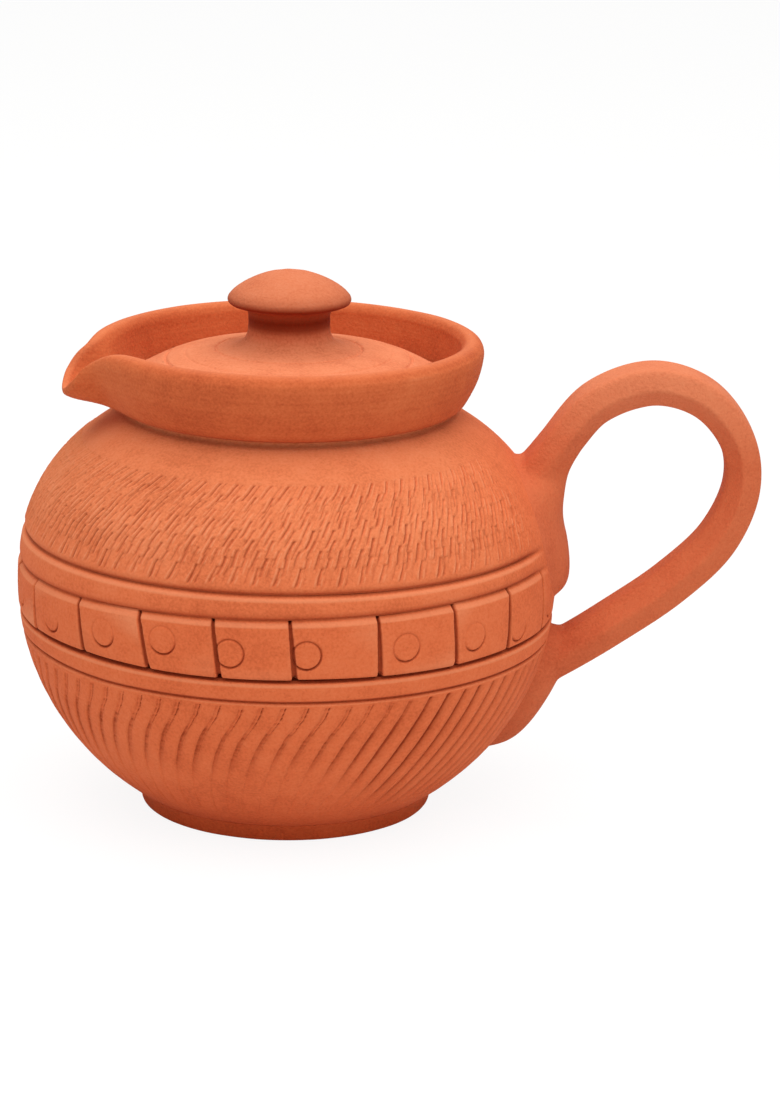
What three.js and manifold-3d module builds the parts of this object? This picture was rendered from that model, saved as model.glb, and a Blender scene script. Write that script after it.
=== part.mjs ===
import * as THREE from 'three';
import { mergeVertices } from 'three/addons/utils/BufferGeometryUtils.js';
import Module from 'manifold-3d';

// A clay milk pot with a pulled pouring lip, a strap handle and a loose lid, in millimetres.
// The origin is at the centre of the base and +Z is up. The handle is towards +X, the lip towards -X.

const wasm = await Module();
wasm.setup();

// Belly
const bellyRadius = 80;
const bellyHeight = 68.2; // height of the widest circle
const lowerReach = 75.9; // vertical half axis of the lower belly
const shoulderReach = 60.6; // vertical half axis of the shoulder
const shoulderPower = 2.3; // above 2, so the shoulder is fuller than an ellipse
const wall = 5;
const floorThickness = 6;
const shoulderShare = 0.8416; // share of the shoulder's half axis that is left below the neck
const shoulderTop = bellyHeight + shoulderReach * shoulderShare;

// Turned grooves round the belly, placed above or below its widest circle
const grooves = [
  { above: 16.2, width: 1.8, depth: 0.8 },
  { above: 10.2, width: 1.8, depth: 1 },
  { above: -8.6, width: 2.2, depth: 1.6 },
  { above: -14.7, width: 1.6, depth: 0.6 },
];
const bandTop = bellyHeight + grooves[0].above; // the band of tiles is parted from the shoulder here
const bandFoot = bellyHeight + grooves[2].above; // and from the bowl here

// Foot
const footRadius = 43.6;
const footHeight = 5;
const footBevel = 0.8;

// Clay members keep this gap where they meet, so that they stay separate solids
const jointGap = 0.3;

// Neck
const creaseDepth = 0.6; // how far the neck is drawn in under the collar
const neckHeight = 1.6;
const neckWall = 5.2;
const neckRadius = bellyRadiusAt(shoulderTop) - creaseDepth;
const throatRadius = neckRadius - neckWall; // inner radius of the neck and of the ledge
const neckTop = shoulderTop + neckHeight;

// Collar with the pulled lip
const collarFlare = 8.6; // how far the collar stands out beyond the neck
const collarHeight = 20.3;
const collarBase = neckTop + jointGap;
const lipTurn = 10; // degrees that the lip is turned towards the front, from straight opposite the handle
const lipReach = 13.1; // how far the crest is pulled out beyond the round collar
const lipDrop = 15.2; // how far it is pulled down
// How the pull fades beside the lip's middle: a tip with steep sides stands on a soft skirt. The angles
// are in degrees each side, and the power is the higher, the steeper the tip's sides.
const reachPull = { tipShare: 0.43, tipAngle: 9.9, tipPower: 12, skirtAngle: 15.5 };
const dropPull = { tipShare: 0.27, tipAngle: 9.3, tipPower: 16, skirtAngle: 10.7 };
const ledgeRise = 5.1; // height of the ledge above the collar's foot
const ledgeWidth = 4.8;
const ledgeHeight = collarBase + ledgeRise;

// Lid
const lidClearance = 1;
const lidRadius = throatRadius + ledgeWidth - lidClearance;
const lidBottom = ledgeHeight + jointGap;
const lidEdgeHeight = 3; // height of the lid's rounded edge
const lidHeight = 11.9; // up to the flat seat of the knob
const lidThickness = 5;
const seatWidth = 7; // flat ring under the lid's edge that rests on the ledge
const lidTop = lidBottom + lidHeight;

// Knob
const knobNeckRadius = 12;
const knobCap = 6.1; // how far the cap stands out beyond the neck
const knobFoot = 2.2; // how far the foot does
const knobHeight = 22.2;

// Handle
const handleReach = 54.4; // from the belly's widest circle out to the strap's centre line
const handleFall = 25.2; // from the widest circle down to the lower root
const handleRise = 60.6; // and up to the top of the centre line
const strapThickness = 12.9;
const strapThinning = 1.7; // how much thinner the strap is where it was pulled furthest
const strapWidth = 19;
const strapFlare = 4; // extra width at both roots

// Pads that bind the strap to the belly
const upperPad = { above: 17.3, halfHeight: 21, halfWidth: 22, thickness: 3.2, rootRise: 7 };
const lowerPad = { above: -33, halfHeight: 18.4, halfWidth: 13.5, thickness: 5.6, rootRise: 1.5 };
const padEdge = 0.5; // thickness of a pad along its rim

// Fineness of the meshes
const turns = 64; // steps round the pot
const knobTurns = 40;
const bellySteps = 22;

const clay = {
  body: material(0xcf6a42),
  collar: material(0xd2703f),
  handle: material(0xcb6640),
  lid: material(0xd9784d),
};

function material(color) {
  return new THREE.MeshStandardMaterial({ color, roughness: 0.92, metalness: 0 });
}

function mesh(name, geometry, finish) {
  const piece = new THREE.Mesh(geometry, finish);
  piece.name = name;
  return piece;
}

// Outer radius of the plain belly at a height
function bellyRadiusAt(height) {
  const rise = height - bellyHeight;
  if (rise < 0) {
    return bellyRadius * Math.sqrt(1 - (rise / lowerReach) ** 2);
  }
  return bellyRadius * (1 - (rise / shoulderReach) ** shoulderPower) ** (1 / shoulderPower);
}

// Solid of revolution about +Z. The profile lists [radius, height] from the bottom round the outside.
function turned(profile, steps = turns) {
  const points = profile.map(([radius, height]) => new THREE.Vector2(radius, height));
  return new THREE.LatheGeometry(points, steps).rotateX(Math.PI / 2);
}

// Skin through rings of points, each of which closes on itself and runs anticlockwise about the way to
// the next ring. A closed skin joins its last ring to its first, and an open one is capped.
function skin(rings, closed) {
  const count = rings[0].length;
  const indices = [];
  const bands = closed ? rings.length : rings.length - 1;
  for (let band = 0; band < bands; band++) {
    const here = band * count;
    const next = ((band + 1) % rings.length) * count;
    for (let side = 0; side < count; side++) {
      const other = (side + 1) % count;
      indices.push(here + side, here + other, next + other);
      indices.push(here + side, next + other, next + side);
    }
  }
  if (!closed) {
    const last = (rings.length - 1) * count;
    for (let side = 1; side < count - 1; side++) {
      indices.push(0, side + 1, side);
      indices.push(last, last + side, last + side + 1);
    }
  }
  const geometry = new THREE.BufferGeometry();
  const positions = rings.flat().flatMap((point) => [point.x, point.y, point.z]);
  geometry.setAttribute('position', new THREE.Float32BufferAttribute(positions, 3));
  geometry.setIndex(indices);
  return geometry;
}

function solidOf(geometry) {
  const bare = geometry.clone();
  bare.deleteAttribute('normal');
  bare.deleteAttribute('uv');
  const merged = mergeVertices(bare);
  const vertProperties = merged.attributes.position.array;
  const triVerts = Uint32Array.from(merged.index.array);
  return new wasm.Manifold(new wasm.Mesh({ numProp: 3, vertProperties, triVerts }));
}

function geometryOf(solid) {
  const { vertProperties, triVerts } = solid.getMesh();
  const geometry = new THREE.BufferGeometry();
  geometry.setAttribute('position', new THREE.BufferAttribute(Float32Array.from(vertProperties), 3));
  geometry.setIndex(new THREE.BufferAttribute(Uint32Array.from(triVerts), 1));
  return geometry;
}

// Foot disc that the pot stands on
function footDisc() {
  return turned([
    [0, 0],
    [footRadius - footBevel, 0],
    [footRadius, footBevel],
    [footRadius, footHeight - footBevel],
    [footRadius - footBevel, footHeight],
    [0, footHeight],
  ]);
}

// Points up the outside of the belly, with three for each groove
function bellyOutline(low, high) {
  const points = [];
  for (let step = 0; step <= bellySteps; step++) {
    const height = low + (high - low) * (1 - Math.cos((Math.PI * step) / bellySteps)) / 2;
    const cut = grooves.some(({ above, width }) => Math.abs(height - bellyHeight - above) < width);
    if (!cut) {
      points.push([bellyRadiusAt(height), height]);
    }
  }
  for (const { above, width, depth } of grooves) {
    const middle = bellyHeight + above;
    points.push([bellyRadiusAt(middle - width / 2), middle - width / 2]);
    points.push([bellyRadiusAt(middle) - depth, middle]);
    points.push([bellyRadiusAt(middle + width / 2), middle + width / 2]);
  }
  return points.sort((first, second) => first[1] - second[1]);
}

// The same points between two heights, with one at each end
function outlineBetween(low, high) {
  const outline = bellyOutline(footHeight + jointGap, shoulderTop);
  const endAt = (height) => {
    const next = Math.max(outline.findIndex((point) => point[1] >= height), 1);
    const [[lowRadius, lowHeight], [highRadius, highHeight]] = [outline[next - 1], outline[next]];
    const share = (height - lowHeight) / (highHeight - lowHeight);
    return [lowRadius + (highRadius - lowRadius) * share, height];
  };
  return [endAt(low), ...outline.filter((point) => point[1] > low && point[1] < high), endAt(high)];
}

// Points down the inside of the wall
function insideBetween(high, low, steps) {
  return Array.from({ length: steps + 1 }, (_, step) => {
    const height = high + ((low - high) * (1 - Math.cos((Math.PI * step) / steps))) / 2;
    return [Math.max(bellyRadiusAt(height) - wall, 0), height];
  });
}

// Thrown bowl with its floor
function potBowl() {
  const base = footHeight + jointGap;
  const floor = base + floorThickness;
  const top = bandFoot - jointGap / 2;
  return turned([[0, base], ...outlineBetween(base, top), ...insideBetween(top, floor, 8), [0, floor]]);
}

// Ring of the wall between two heights, with what stands on it
function wallRing(low, high, top, steps) {
  const profile = [...outlineBetween(low, high), ...top, ...insideBetween(high, low, steps)];
  return turned([...profile, profile[0]]);
}

// Widest part of the wall, which carries the tiles
function tileBand() {
  return wallRing(bandFoot + jointGap / 2, bandTop - jointGap / 2, [], 3);
}

// Shoulder with the short neck
function potShoulder() {
  return wallRing(bandTop + jointGap / 2, shoulderTop, [[neckRadius, neckTop], [throatRadius, neckTop]], 7);
}

// Share of the lip's pull at an angle in degrees from its middle
function pullShare(angle, { tipShare, tipAngle, tipPower, skirtAngle }) {
  const tip = 1 / (1 + (angle / tipAngle) ** tipPower);
  const skirt = Math.exp(-((angle / skirtAngle) ** 2));
  return tipShare * tip + (1 - tipShare) * skirt;
}

// Section of the collar from its foot up the outside, over the crest and down the inside. A row gives
// the radius and the height, and the shares of the lip's reach and drop that the point takes.
function collarSection() {
  const well = throatRadius + ledgeWidth;
  const channelShare = 0.76; // how deep the ledge dips below the lid at the lip
  const outsideShares = [
    [0.02, 0, 0, 0],
    [0.31, 0.06, 0.05, 0.02],
    [0.51, 0.17, 0.13, 0.13],
    [0.66, 0.29, 0.2, 0.26],
    [0.8, 0.42, 0.3, 0.4],
    [0.91, 0.57, 0.45, 0.56],
    [0.98, 0.72, 0.59, 0.71],
    [1, 0.81, 0.68, 0.78],
    [0.96, 0.89, 0.74, 0.83],
    [0.84, 0.96, 0.82, 0.87],
    [0.64, 0.995, 0.92, 0.9],
    [0.42, 0.985, 0.96, 0.9],
    [0.28, 0.92, 0.96, 0.87],
  ];
  const outside = outsideShares.map(([out, up, reach, drop]) => [
    neckRadius + collarFlare * out, collarBase + collarHeight * up, lipReach * reach, lipDrop * drop]);
  const lip = outside[outside.length - 1];
  const inside = [0.75, 0.42, 0.08].map((share) => [
    well + (lip[0] - well) * share,
    ledgeHeight + (lip[1] - ledgeHeight) * share,
    lipReach * (0.08 + 0.68 * share),
    lipDrop * (0.22 + 0.58 * share),
  ]);
  return [
    ...outside,
    ...inside,
    [well, ledgeHeight, 0, ledgeRise * channelShare * 0.85],
    [throatRadius, ledgeHeight, 0, ledgeRise * channelShare],
    [throatRadius, collarBase, 0, 0],
  ];
}

// Flared collar, pulled out and down into the pouring lip
function pouringRim() {
  const section = collarSection();
  const rimTurns = turns + 8;
  const crowding = 0.7; // draws the steps together round the lip
  const lipMiddle = THREE.MathUtils.degToRad(lipTurn);
  const rings = [];
  for (let step = 0; step < rimTurns; step++) {
    const even = (2 * Math.PI * step) / rimTurns;
    const angle = even - crowding * Math.sin(even);
    const fromLip = THREE.MathUtils.radToDeg(Math.min(angle, 2 * Math.PI - angle));
    const outPull = pullShare(fromLip, reachPull);
    const downPull = pullShare(fromLip, dropPull);
    const turn = angle - lipMiddle;
    rings.push(section.map(([radius, height, reach, drop]) => {
      const out = radius + reach * outPull;
      return new THREE.Vector3(-out * Math.cos(turn), out * Math.sin(turn), height - drop * downPull);
    }));
  }
  return skin(rings, true);
}

// Domed disc of the lid, flat under its edge
function lidDome() {
  const seatInner = lidRadius - seatWidth;
  const domeShares = [[0.985, 0.26], [0.94, 0.37], [0.87, 0.52], [0.77, 0.7], [0.64, 0.84], [0.48, 0.94]];
  const dome = domeShares.map(([out, up]) => [lidRadius * out, lidBottom + lidHeight * up]);
  const hollowShares = [[0.4, 1], [0.7, 0.66], [0.9, 0.24]];
  const hollow = hollowShares.map(([out, up]) => [
    seatInner * out, lidBottom + (lidHeight - lidThickness) * up]);
  return turned([
    [0, lidTop - lidThickness],
    ...hollow,
    [seatInner, lidBottom],
    [lidRadius - lidEdgeHeight / 4, lidBottom],
    [lidRadius, lidBottom + lidEdgeHeight / 3],
    ...dome,
    [knobNeckRadius + knobFoot, lidTop],
    [0, lidTop],
  ]);
}

// Mushroom knob on the lid
function lidKnob() {
  const base = lidTop + jointGap;
  const capShares = [
    [0.7, 0.49], [0.8, 0.522], [0.91, 0.537], [0.975, 0.565], [1, 0.605], [0.96, 0.69], [0.885, 0.752],
    [0.75, 0.83], [0.58, 0.9], [0.36, 0.965],
  ];
  return turned([
    [0, base],
    [knobNeckRadius + knobFoot, base],
    [knobNeckRadius, base + knobHeight * 0.12],
    [knobNeckRadius, base + knobHeight * 0.42],
    ...capShares.map(([out, up]) => [(knobNeckRadius + knobCap) * out, base + knobHeight * up]),
    [0, base + knobHeight],
  ], knobTurns);
}

// Strap of the handle along its centre line, before its roots are fitted to the pot
function strapBlank() {
  const pathShares = [
    [-0.26, 0.583], [-0.11, 0.688], [-0.01, 0.768], [0.2, 0.929], [0.506, 1], [0.785, 0.948],
    [0.967, 0.804], [0.996, 0.65], [0.88, 0.464], [0.632, 0.301], [0.295, 0.146], [-0.02, 0.02],
    [-0.37, -0.09],
  ];
  const path = new THREE.CatmullRomCurve3(pathShares.map(([out, up]) => new THREE.Vector3(
    bellyRadius + handleReach * out, 0, bellyHeight - handleFall + (handleRise + handleFall) * up)));
  const steps = 32;
  const sides = 14;
  const squareness = 0.8; // below 1, so the section is fuller than an ellipse
  const across = new THREE.Vector3(0, 1, 0);
  const rings = [];
  for (let step = 0; step <= steps; step++) {
    const along = step / steps;
    const centre = path.getPointAt(along);
    const outward = new THREE.Vector3().crossVectors(across, path.getTangentAt(along));
    const thin = Math.exp(-(((along - 0.45) / 0.12) ** 2));
    const thickness = strapThickness - strapThinning * thin;
    const width = strapWidth + strapFlare * (2 * along - 1) ** 6;
    const ring = [];
    for (let side = 0; side < sides; side++) {
      const turn = (2 * Math.PI * side) / sides;
      const out = Math.sign(Math.cos(turn)) * Math.abs(Math.cos(turn)) ** squareness;
      const aside = Math.sign(Math.sin(turn)) * Math.abs(Math.sin(turn)) ** squareness;
      ring.push(centre.clone()
        .addScaledVector(outward, (out * thickness) / 2)
        .addScaledVector(across, (aside * width) / 2));
    }
    rings.push(ring);
  }
  return skin(rings, false);
}

// Pad of clay smeared over the belly, thicker towards its top where the strap grows out of it. Its back
// can be sunk by a depth and its face raised by an extra, to cut the strap's root to fit.
function padOn({ above, halfHeight, halfWidth, thickness, rootRise }, backDepth, extra) {
  const sides = 24;
  const point = (share, turn, lift, root) => {
    const up = share * Math.sin(turn);
    const level = bellyHeight + above + halfHeight * up;
    const angle = (halfWidth * share * Math.cos(turn)) / bellyRadius;
    const radius = bellyRadiusAt(level) + lift + root * Math.max(up, 0) ** 2;
    return new THREE.Vector3(radius * Math.cos(angle), radius * Math.sin(angle), level);
  };
  const ring = (share, lift, root) => Array.from({ length: sides }, (_, side) => (
    point(share, (2 * Math.PI * side) / sides, lift, root)));
  const backShares = [0.02, 0.4, 0.75, 1];
  const faceShares = [1, 0.95, 0.85, 0.7, 0.5, 0.25, 0.02];
  const rings = backShares.map((share) => ring(share, jointGap - backDepth, 0));
  for (const share of faceShares) {
    const swell = (1 - share ** 4) ** 0.5;
    rings.push(ring(share, jointGap + padEdge + thickness * swell + extra, rootRise * swell * 2));
  }
  return skin(rings, false);
}

// Strap cut to sit on the belly and on both pads
function handleStrap() {
  const low = bellyHeight - handleFall - lowerPad.halfHeight;
  const core = turned([
    [0, low],
    ...Array.from({ length: bellySteps + 1 }, (_, step) => {
      const height = low + ((shoulderTop - low) * step) / bellySteps;
      return [bellyRadiusAt(height) + jointGap, height];
    }),
    [0, shoulderTop],
  ]);
  const padDepth = strapThickness;
  return geometryOf(solidOf(strapBlank())
    .subtract(solidOf(core))
    .subtract(solidOf(padOn(upperPad, padDepth, jointGap)))
    .subtract(solidOf(padOn(lowerPad, padDepth, jointGap))));
}

const pot = new THREE.Group();
pot.add(mesh('foot_disc', footDisc(), clay.body));
pot.add(mesh('pot_bowl', potBowl(), clay.body));
pot.add(mesh('tile_band', tileBand(), clay.body));
pot.add(mesh('pot_shoulder', potShoulder(), clay.body));
pot.add(mesh('pouring_rim', pouringRim(), clay.collar));
pot.add(mesh('handle_strap', handleStrap(), clay.handle));
pot.add(mesh('handle_upper_pad', padOn(upperPad, 0, 0), clay.handle));
pot.add(mesh('handle_lower_pad', padOn(lowerPad, 0, 0), clay.handle));

const lid = new THREE.Group();
lid.add(mesh('lid_dome', lidDome(), clay.lid));
lid.add(mesh('lid_knob', lidKnob(), clay.lid));

const milkPot = new THREE.Group();
milkPot.add(pot, lid);

export default milkPot;
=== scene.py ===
import math

import bpy
import numpy as np
from mathutils import Matrix, Vector


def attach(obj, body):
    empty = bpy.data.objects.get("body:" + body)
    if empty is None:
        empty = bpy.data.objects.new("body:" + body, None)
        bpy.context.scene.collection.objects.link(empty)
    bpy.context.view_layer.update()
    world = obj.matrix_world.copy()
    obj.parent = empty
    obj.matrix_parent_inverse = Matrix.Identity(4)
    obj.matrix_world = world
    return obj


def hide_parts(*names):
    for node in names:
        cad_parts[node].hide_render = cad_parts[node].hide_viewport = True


# A clay milk pot: thrown, turned, carved and fired without glaze. Sizes are in millimetres and are made
# metres where a mesh is built. The handle is towards +X, the lip towards -X and the camera towards -Y.

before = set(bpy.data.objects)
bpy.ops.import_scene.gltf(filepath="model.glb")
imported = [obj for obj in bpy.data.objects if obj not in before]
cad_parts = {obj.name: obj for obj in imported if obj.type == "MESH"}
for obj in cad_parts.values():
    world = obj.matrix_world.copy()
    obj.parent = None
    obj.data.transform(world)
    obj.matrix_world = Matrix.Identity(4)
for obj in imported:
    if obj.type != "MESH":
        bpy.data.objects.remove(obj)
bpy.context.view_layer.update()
mm = 0.001

# Camera

cameraSettings = {
    "place": (30.53, -1087.76, 374.51),
    "pitchDown": 15.363,  # degrees
    "roll": 0.878,
    "lens": 123.16, "sensor": 36,
}


def makeCamera(settings):
    pitch, roll = math.radians(settings["pitchDown"]), math.radians(settings["roll"])
    look = Vector((0, math.cos(pitch), -math.sin(pitch)))
    upright = Vector((0, math.sin(pitch), math.cos(pitch)))
    right = math.cos(roll) * Vector((1, 0, 0)) + math.sin(roll) * upright
    up = math.cos(roll) * upright - math.sin(roll) * Vector((1, 0, 0))
    data = bpy.data.cameras.new("camera")
    data.lens, data.sensor_width = settings["lens"], settings["sensor"]
    camera = bpy.data.objects.new("camera", data)
    turn = Matrix((right, up, -look)).transposed().to_4x4()
    camera.matrix_world = Matrix.Translation(Vector(settings["place"]) * mm) @ turn
    bpy.context.scene.collection.objects.link(camera)
    bpy.context.scene.camera = camera


makeCamera(cameraSettings)
print("camera made")

# Nodes and materials

noiseNode, chanceNode, rangeNode = "ShaderNodeTexNoise", "ShaderNodeTexWhiteNoise", "ShaderNodeMapRange"
joinNode, mixNode = "ShaderNodeCombineXYZ", "ShaderNodeMix"
softly, inColour = {"interpolation_type": "SMOOTHSTEP"}, {"data_type": "RGBA"}


def addNode(tree, kind, inputs=None, settings=None):
    node = tree.nodes.new(kind)
    for key, value in (settings or {}).items():
        setattr(node, key, value)
    for key, value in (inputs or {}).items():
        if isinstance(value, bpy.types.NodeSocket):
            tree.links.new(value, node.inputs[key])
        else:
            node.inputs[key].default_value = value
    return node


# Adds a node for each row: the result's name, the kind of node or what a Math node does, its inputs, its
# settings, and the number of its output where that isn't 0. A name among the inputs stands for an
# earlier result. A sum, a product or a maximum of more than two takes a node for each step.
def addRows(tree, known, rows):
    for result, kind, inputs, *more in rows:
        settings, output = more + [{}, 0][len(more):]
        places = inputs if isinstance(inputs, dict) else dict(enumerate(inputs))
        filled = {key: known.get(value, value) if isinstance(value, str) else value
                  for key, value in places.items()}
        if kind.isupper():
            kind, settings = "ShaderNodeMath", {"operation": kind}
        while settings.get("operation") in ("ADD", "MULTIPLY", "MAXIMUM") and len(filled) > 2:
            first, second, *others = filled.values()
            step = addNode(tree, kind, {0: first, 1: second}, settings).outputs[0]
            filled = dict(enumerate([step] + others))
        known[result] = addNode(tree, kind, filled, settings).outputs[output]


def linearColour(hexText):
    parts = [int(hexText[place:place + 2], 16) / 255 for place in (1, 3, 5)]
    return (*[part / 12.92 if part <= 0.04045 else ((part + 0.055) / 1.055) ** 2.4 for part in parts], 1)


# Terracotta: red earthenware fired once without glaze. It is matt and slightly open, so there is no
# coat and hardly any gloss. The colour drifts in soft clouds, the wheel leaves fine rings, and the
# grog shows as a grain of light and dark specks. Gaps, grain and the heights or places over which the
# clay turns redder are in mm. The grain is drawn coarser than real grog, which is too fine to show.
noRedderOutward = (900, 901)
clayFinishes = {
    "terracottaCarved": {"slot": "body_clay", "mid": "#E78152", "pale": "#F29567", "deep": "#C25E35",
                         "redder": (100, 76), "smeared": (46, 70), "ringGap": 1.1, "ringShare": 0.10,
                         "grain": 0.8, "roughness": 0.93},
    # painted shade: the collar's clay is set darker and redder than the body's, as the shade on its face
    "terracottaShadedCollar": {"slot": "collar_clay", "mid": "#CE6538", "pale": "#E07B4A", "deep": "#A94220",
                         "redder": (100, 76), "smeared": noRedderOutward, "ringGap": 0.9, "ringShare": 0.22,
                         "grain": 0.75, "roughness": 0.92},
    "terracottaPulled": {"slot": "handle_clay", "mid": "#DC7D55", "pale": "#E48B61", "deep": "#C3623E",
                         "redder": (130, 106), "smeared": noRedderOutward, "ringGap": 4.0, "ringShare": 0.10,
                         "grain": 0.8, "roughness": 0.92},
    # painted light: the lid's clay is set less saturated than the body's, as the light on its top
    "terracottaLitLid": {"slot": "lid_clay", "mid": "#E28359", "pale": "#EC956D", "deep": "#C05D39",
                      "redder": (100, 76), "smeared": noRedderOutward, "ringGap": 0.8, "ringShare": 0.16,
                      "grain": 0.75, "roughness": 0.93},
}
clayShared = {
    "cut": "#8C2E0E",  # painted shade in the cuts of the carving
    # painted highlight on ridges, groove edges, tile edges and the collar's crest
    "worn": "#F0986C", "highlightShare": 0.5,
    "red": "#F1C1A2",  # painted shade: the clay is made darker and redder below the neck, towards the foot and on the handle's side
    "shadeBelowNeck": 0.6, "redNearHandle": 0.55, "shadeAtFoot": 0.4, "footReach": 22,
    "cloudGap": 34, "patchGap": 7, "gritGap": 1.6, "ringStretch": 6,
    "cloudTone": 0.9, "patchTone": 0.64, "grainTone": 1.0, "toneReach": 0.75,
    # depths in mm over which a cut and a groove show as painted shade and a ridge as a painted highlight, and
    # from how little to how much
    "inCut": (0.13, 0.8, 0, 0.76), "inGroove": (0, 1.3, 0, 0.98), "onRidge": (-0.06, -0.2, 0, 1),
    # strength and height in mm of what is too fine for the mesh
    "bumps": {"grain": (0.7, 0.2), "rings": (1.6, 0.16), "grit": (0.75, 0.34)},
    "ior": 1.5, "gloss": 0.22,  # its open surface scatters most of the gloss
}


def makeClay(name, finish):
    clay = bpy.data.materials.new(name)
    clay.use_nodes = True
    tree = clay.node_tree
    tree.nodes.clear()
    shared = clayShared
    mid, pale, deep = (linearColour(finish[key]) for key in ("mid", "pale", "deep"))
    cut, worn, red = (linearColour(shared[key]) for key in ("cut", "worn", "red"))
    stretch, reach, perMetre = shared["ringStretch"], shared["toneReach"], 1 / mm
    # the rings are stretched round the pot, so they lie level
    ringScale = (stretch, stretch, perMetre / finish["ringGap"])
    noises = {"clouds": ("place", perMetre / shared["cloudGap"], 3, 0.5),
              "patches": ("place", perMetre / shared["patchGap"], 4, 0.5),
              "rings": ("ringPlace", 1, 3, 0.6),
              "grain": ("place", perMetre / finish["grain"], 2, 0.5),
              "grit": ("place", perMetre / shared["gritGap"], 4, 0.65)}
    tones = {"clouds": shared["cloudTone"], "patches": shared["patchTone"], "rings": finish["ringShare"] * 2,
             "grain": shared["grainTone"]}
    redHigh, redLow = (height * mm for height in finish["redder"])
    outwardStart, outwardEnd = (out * mm for out in finish["smeared"])
    known = {}
    addRows(tree, known, [
        ("place", "ShaderNodeTexCoord", {}, {}, 3),
        ("ringPlace", "ShaderNodeMapping", {0: "place", 3: ringScale}),
        *[(label, noiseNode, {"Vector": place, "Scale": scale, "Detail": detail, "Roughness": roughness})
          for label, (place, scale, detail, roughness) in noises.items()],
        *[(label, "ShaderNodeAttribute", {}, {"attribute_name": label}, 2)
          for label in ("cut", "turned", "worn")],
        # the tone gathers clouds, patches, rings and grain about the middle colour
        *[(label + "Tone", "MULTIPLY_ADD", (label, gain, -gain / 2)) for label, gain in tones.items()],
        ("tone", "ADD", [label + "Tone" for label in tones]),
        ("toPale", rangeNode, ("tone", 0, reach)),
        ("toDeep", rangeNode, ("tone", 0, -reach)),
        ("warm", mixNode, {0: "toPale", 6: mid, 7: pale}, inColour, 2),
        ("cool", mixNode, {0: "toDeep", 6: "warm", 7: deep}, inColour, 2),
        ("placeOut", "ShaderNodeSeparateXYZ", ("place",)),
        ("placeUp", "ShaderNodeSeparateXYZ", ("place",), {}, 2),
        # painted shade, darker and redder below the neck, on the handle's side and towards the foot
        ("belowNeck", rangeNode, ("placeUp", redHigh, redLow, 0, shared["shadeBelowNeck"])),
        ("nearHandle", rangeNode, ("placeOut", outwardStart, outwardEnd, 0, shared["redNearHandle"])),
        ("nearFoot", rangeNode, ("placeUp", shared["footReach"] * mm, 0, 0, shared["shadeAtFoot"])),
        ("aboveFoot", "MAXIMUM", ("belowNeck", "nearHandle")),
        ("fired", "ADD", ("aboveFoot", "nearFoot")),
        ("firedClay", mixNode, {0: "fired", 6: "cool", 7: red}, {**inColour, "blend_type": "MULTIPLY"}, 2),
        # painted shade darkens cuts, grooves and the hollows under the collar and the knob's cap, and painted
        # highlights make ridges and edges paler
        ("inCut", rangeNode, ("cut", *shared["inCut"])),
        ("inGroove", rangeNode, ("turned", *shared["inGroove"])),
        ("inside", "MAXIMUM", ("inCut", "inGroove")),
        ("onRidge", rangeNode, ("cut", *shared["onRidge"])),
        ("rubbed", "MAXIMUM", ("onRidge", "worn")),
        ("rubbedShare", "MULTIPLY", ("rubbed", shared["highlightShare"])),
        ("rubbedClay", mixNode, {0: "rubbedShare", 6: "firedClay", 7: worn}, inColour, 2),
        ("colour", mixNode, {0: "inside", 6: "rubbedClay", 7: cut}, inColour, 2),
    ])
    normal = {}
    for label, (strength, height) in shared["bumps"].items():
        strength *= finish["ringShare"] if label == "rings" else 1
        addRows(tree, known, [(label + "Bump", "ShaderNodeBump", {
            "Strength": strength, "Distance": height * mm, "Height": label, **normal})])
        normal = {"Normal": label + "Bump"}
    addRows(tree, known, [("clay", "ShaderNodeBsdfPrincipled", {"Base Color": "colour", **normal})])
    shader = known["clay"].node
    shader.inputs["Roughness"].default_value = finish["roughness"]
    shader.inputs["IOR"].default_value = shared["ior"]
    shader.inputs["Specular IOR Level"].default_value = shared["gloss"]
    addNode(tree, "ShaderNodeOutputMaterial", {"Surface": known["clay"]})
    return clay


clays = {finish["slot"]: makeClay(name, finish) for name, finish in clayFinishes.items()}
print("terracotta mixed for", ", ".join(clays))

# Meshes

bellyShape = {"radius": 79.9, "height": 68.2, "lowerReach": 75.9, "shoulderReach": 60.6, "shoulderPower": 2.3,
              "wall": 5, "footTop": 5.3, "floorTop": 11.3, "shoulderTop": 119.2}


# Radius of the plain belly at a height, from a lower and an upper curve
def bellyRadius(height):
    shape = bellyShape
    rise = np.asarray(height, float) - shape["height"]
    low = np.sqrt(np.clip(1 - (rise / shape["lowerReach"]) ** 2, 0, 1))
    share = np.clip(rise / shape["shoulderReach"], 0, 1)
    high = (1 - share ** shape["shoulderPower"]) ** (1 / shape["shoulderPower"])
    return shape["radius"] * np.where(rise < 0, low, high)


# Length along the belly's outline from the foot up, by height
outlineHeights = np.linspace(bellyShape["footTop"], bellyShape["shoulderTop"], 4001)
outlineLengths = np.concatenate([[0], np.cumsum(np.hypot(
    np.diff(outlineHeights), np.diff(bellyRadius(outlineHeights))))])


def lengthAt(height):
    return np.interp(height, outlineHeights, outlineLengths)


def heightAt(length):
    return np.interp(length, outlineLengths, outlineHeights)


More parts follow.
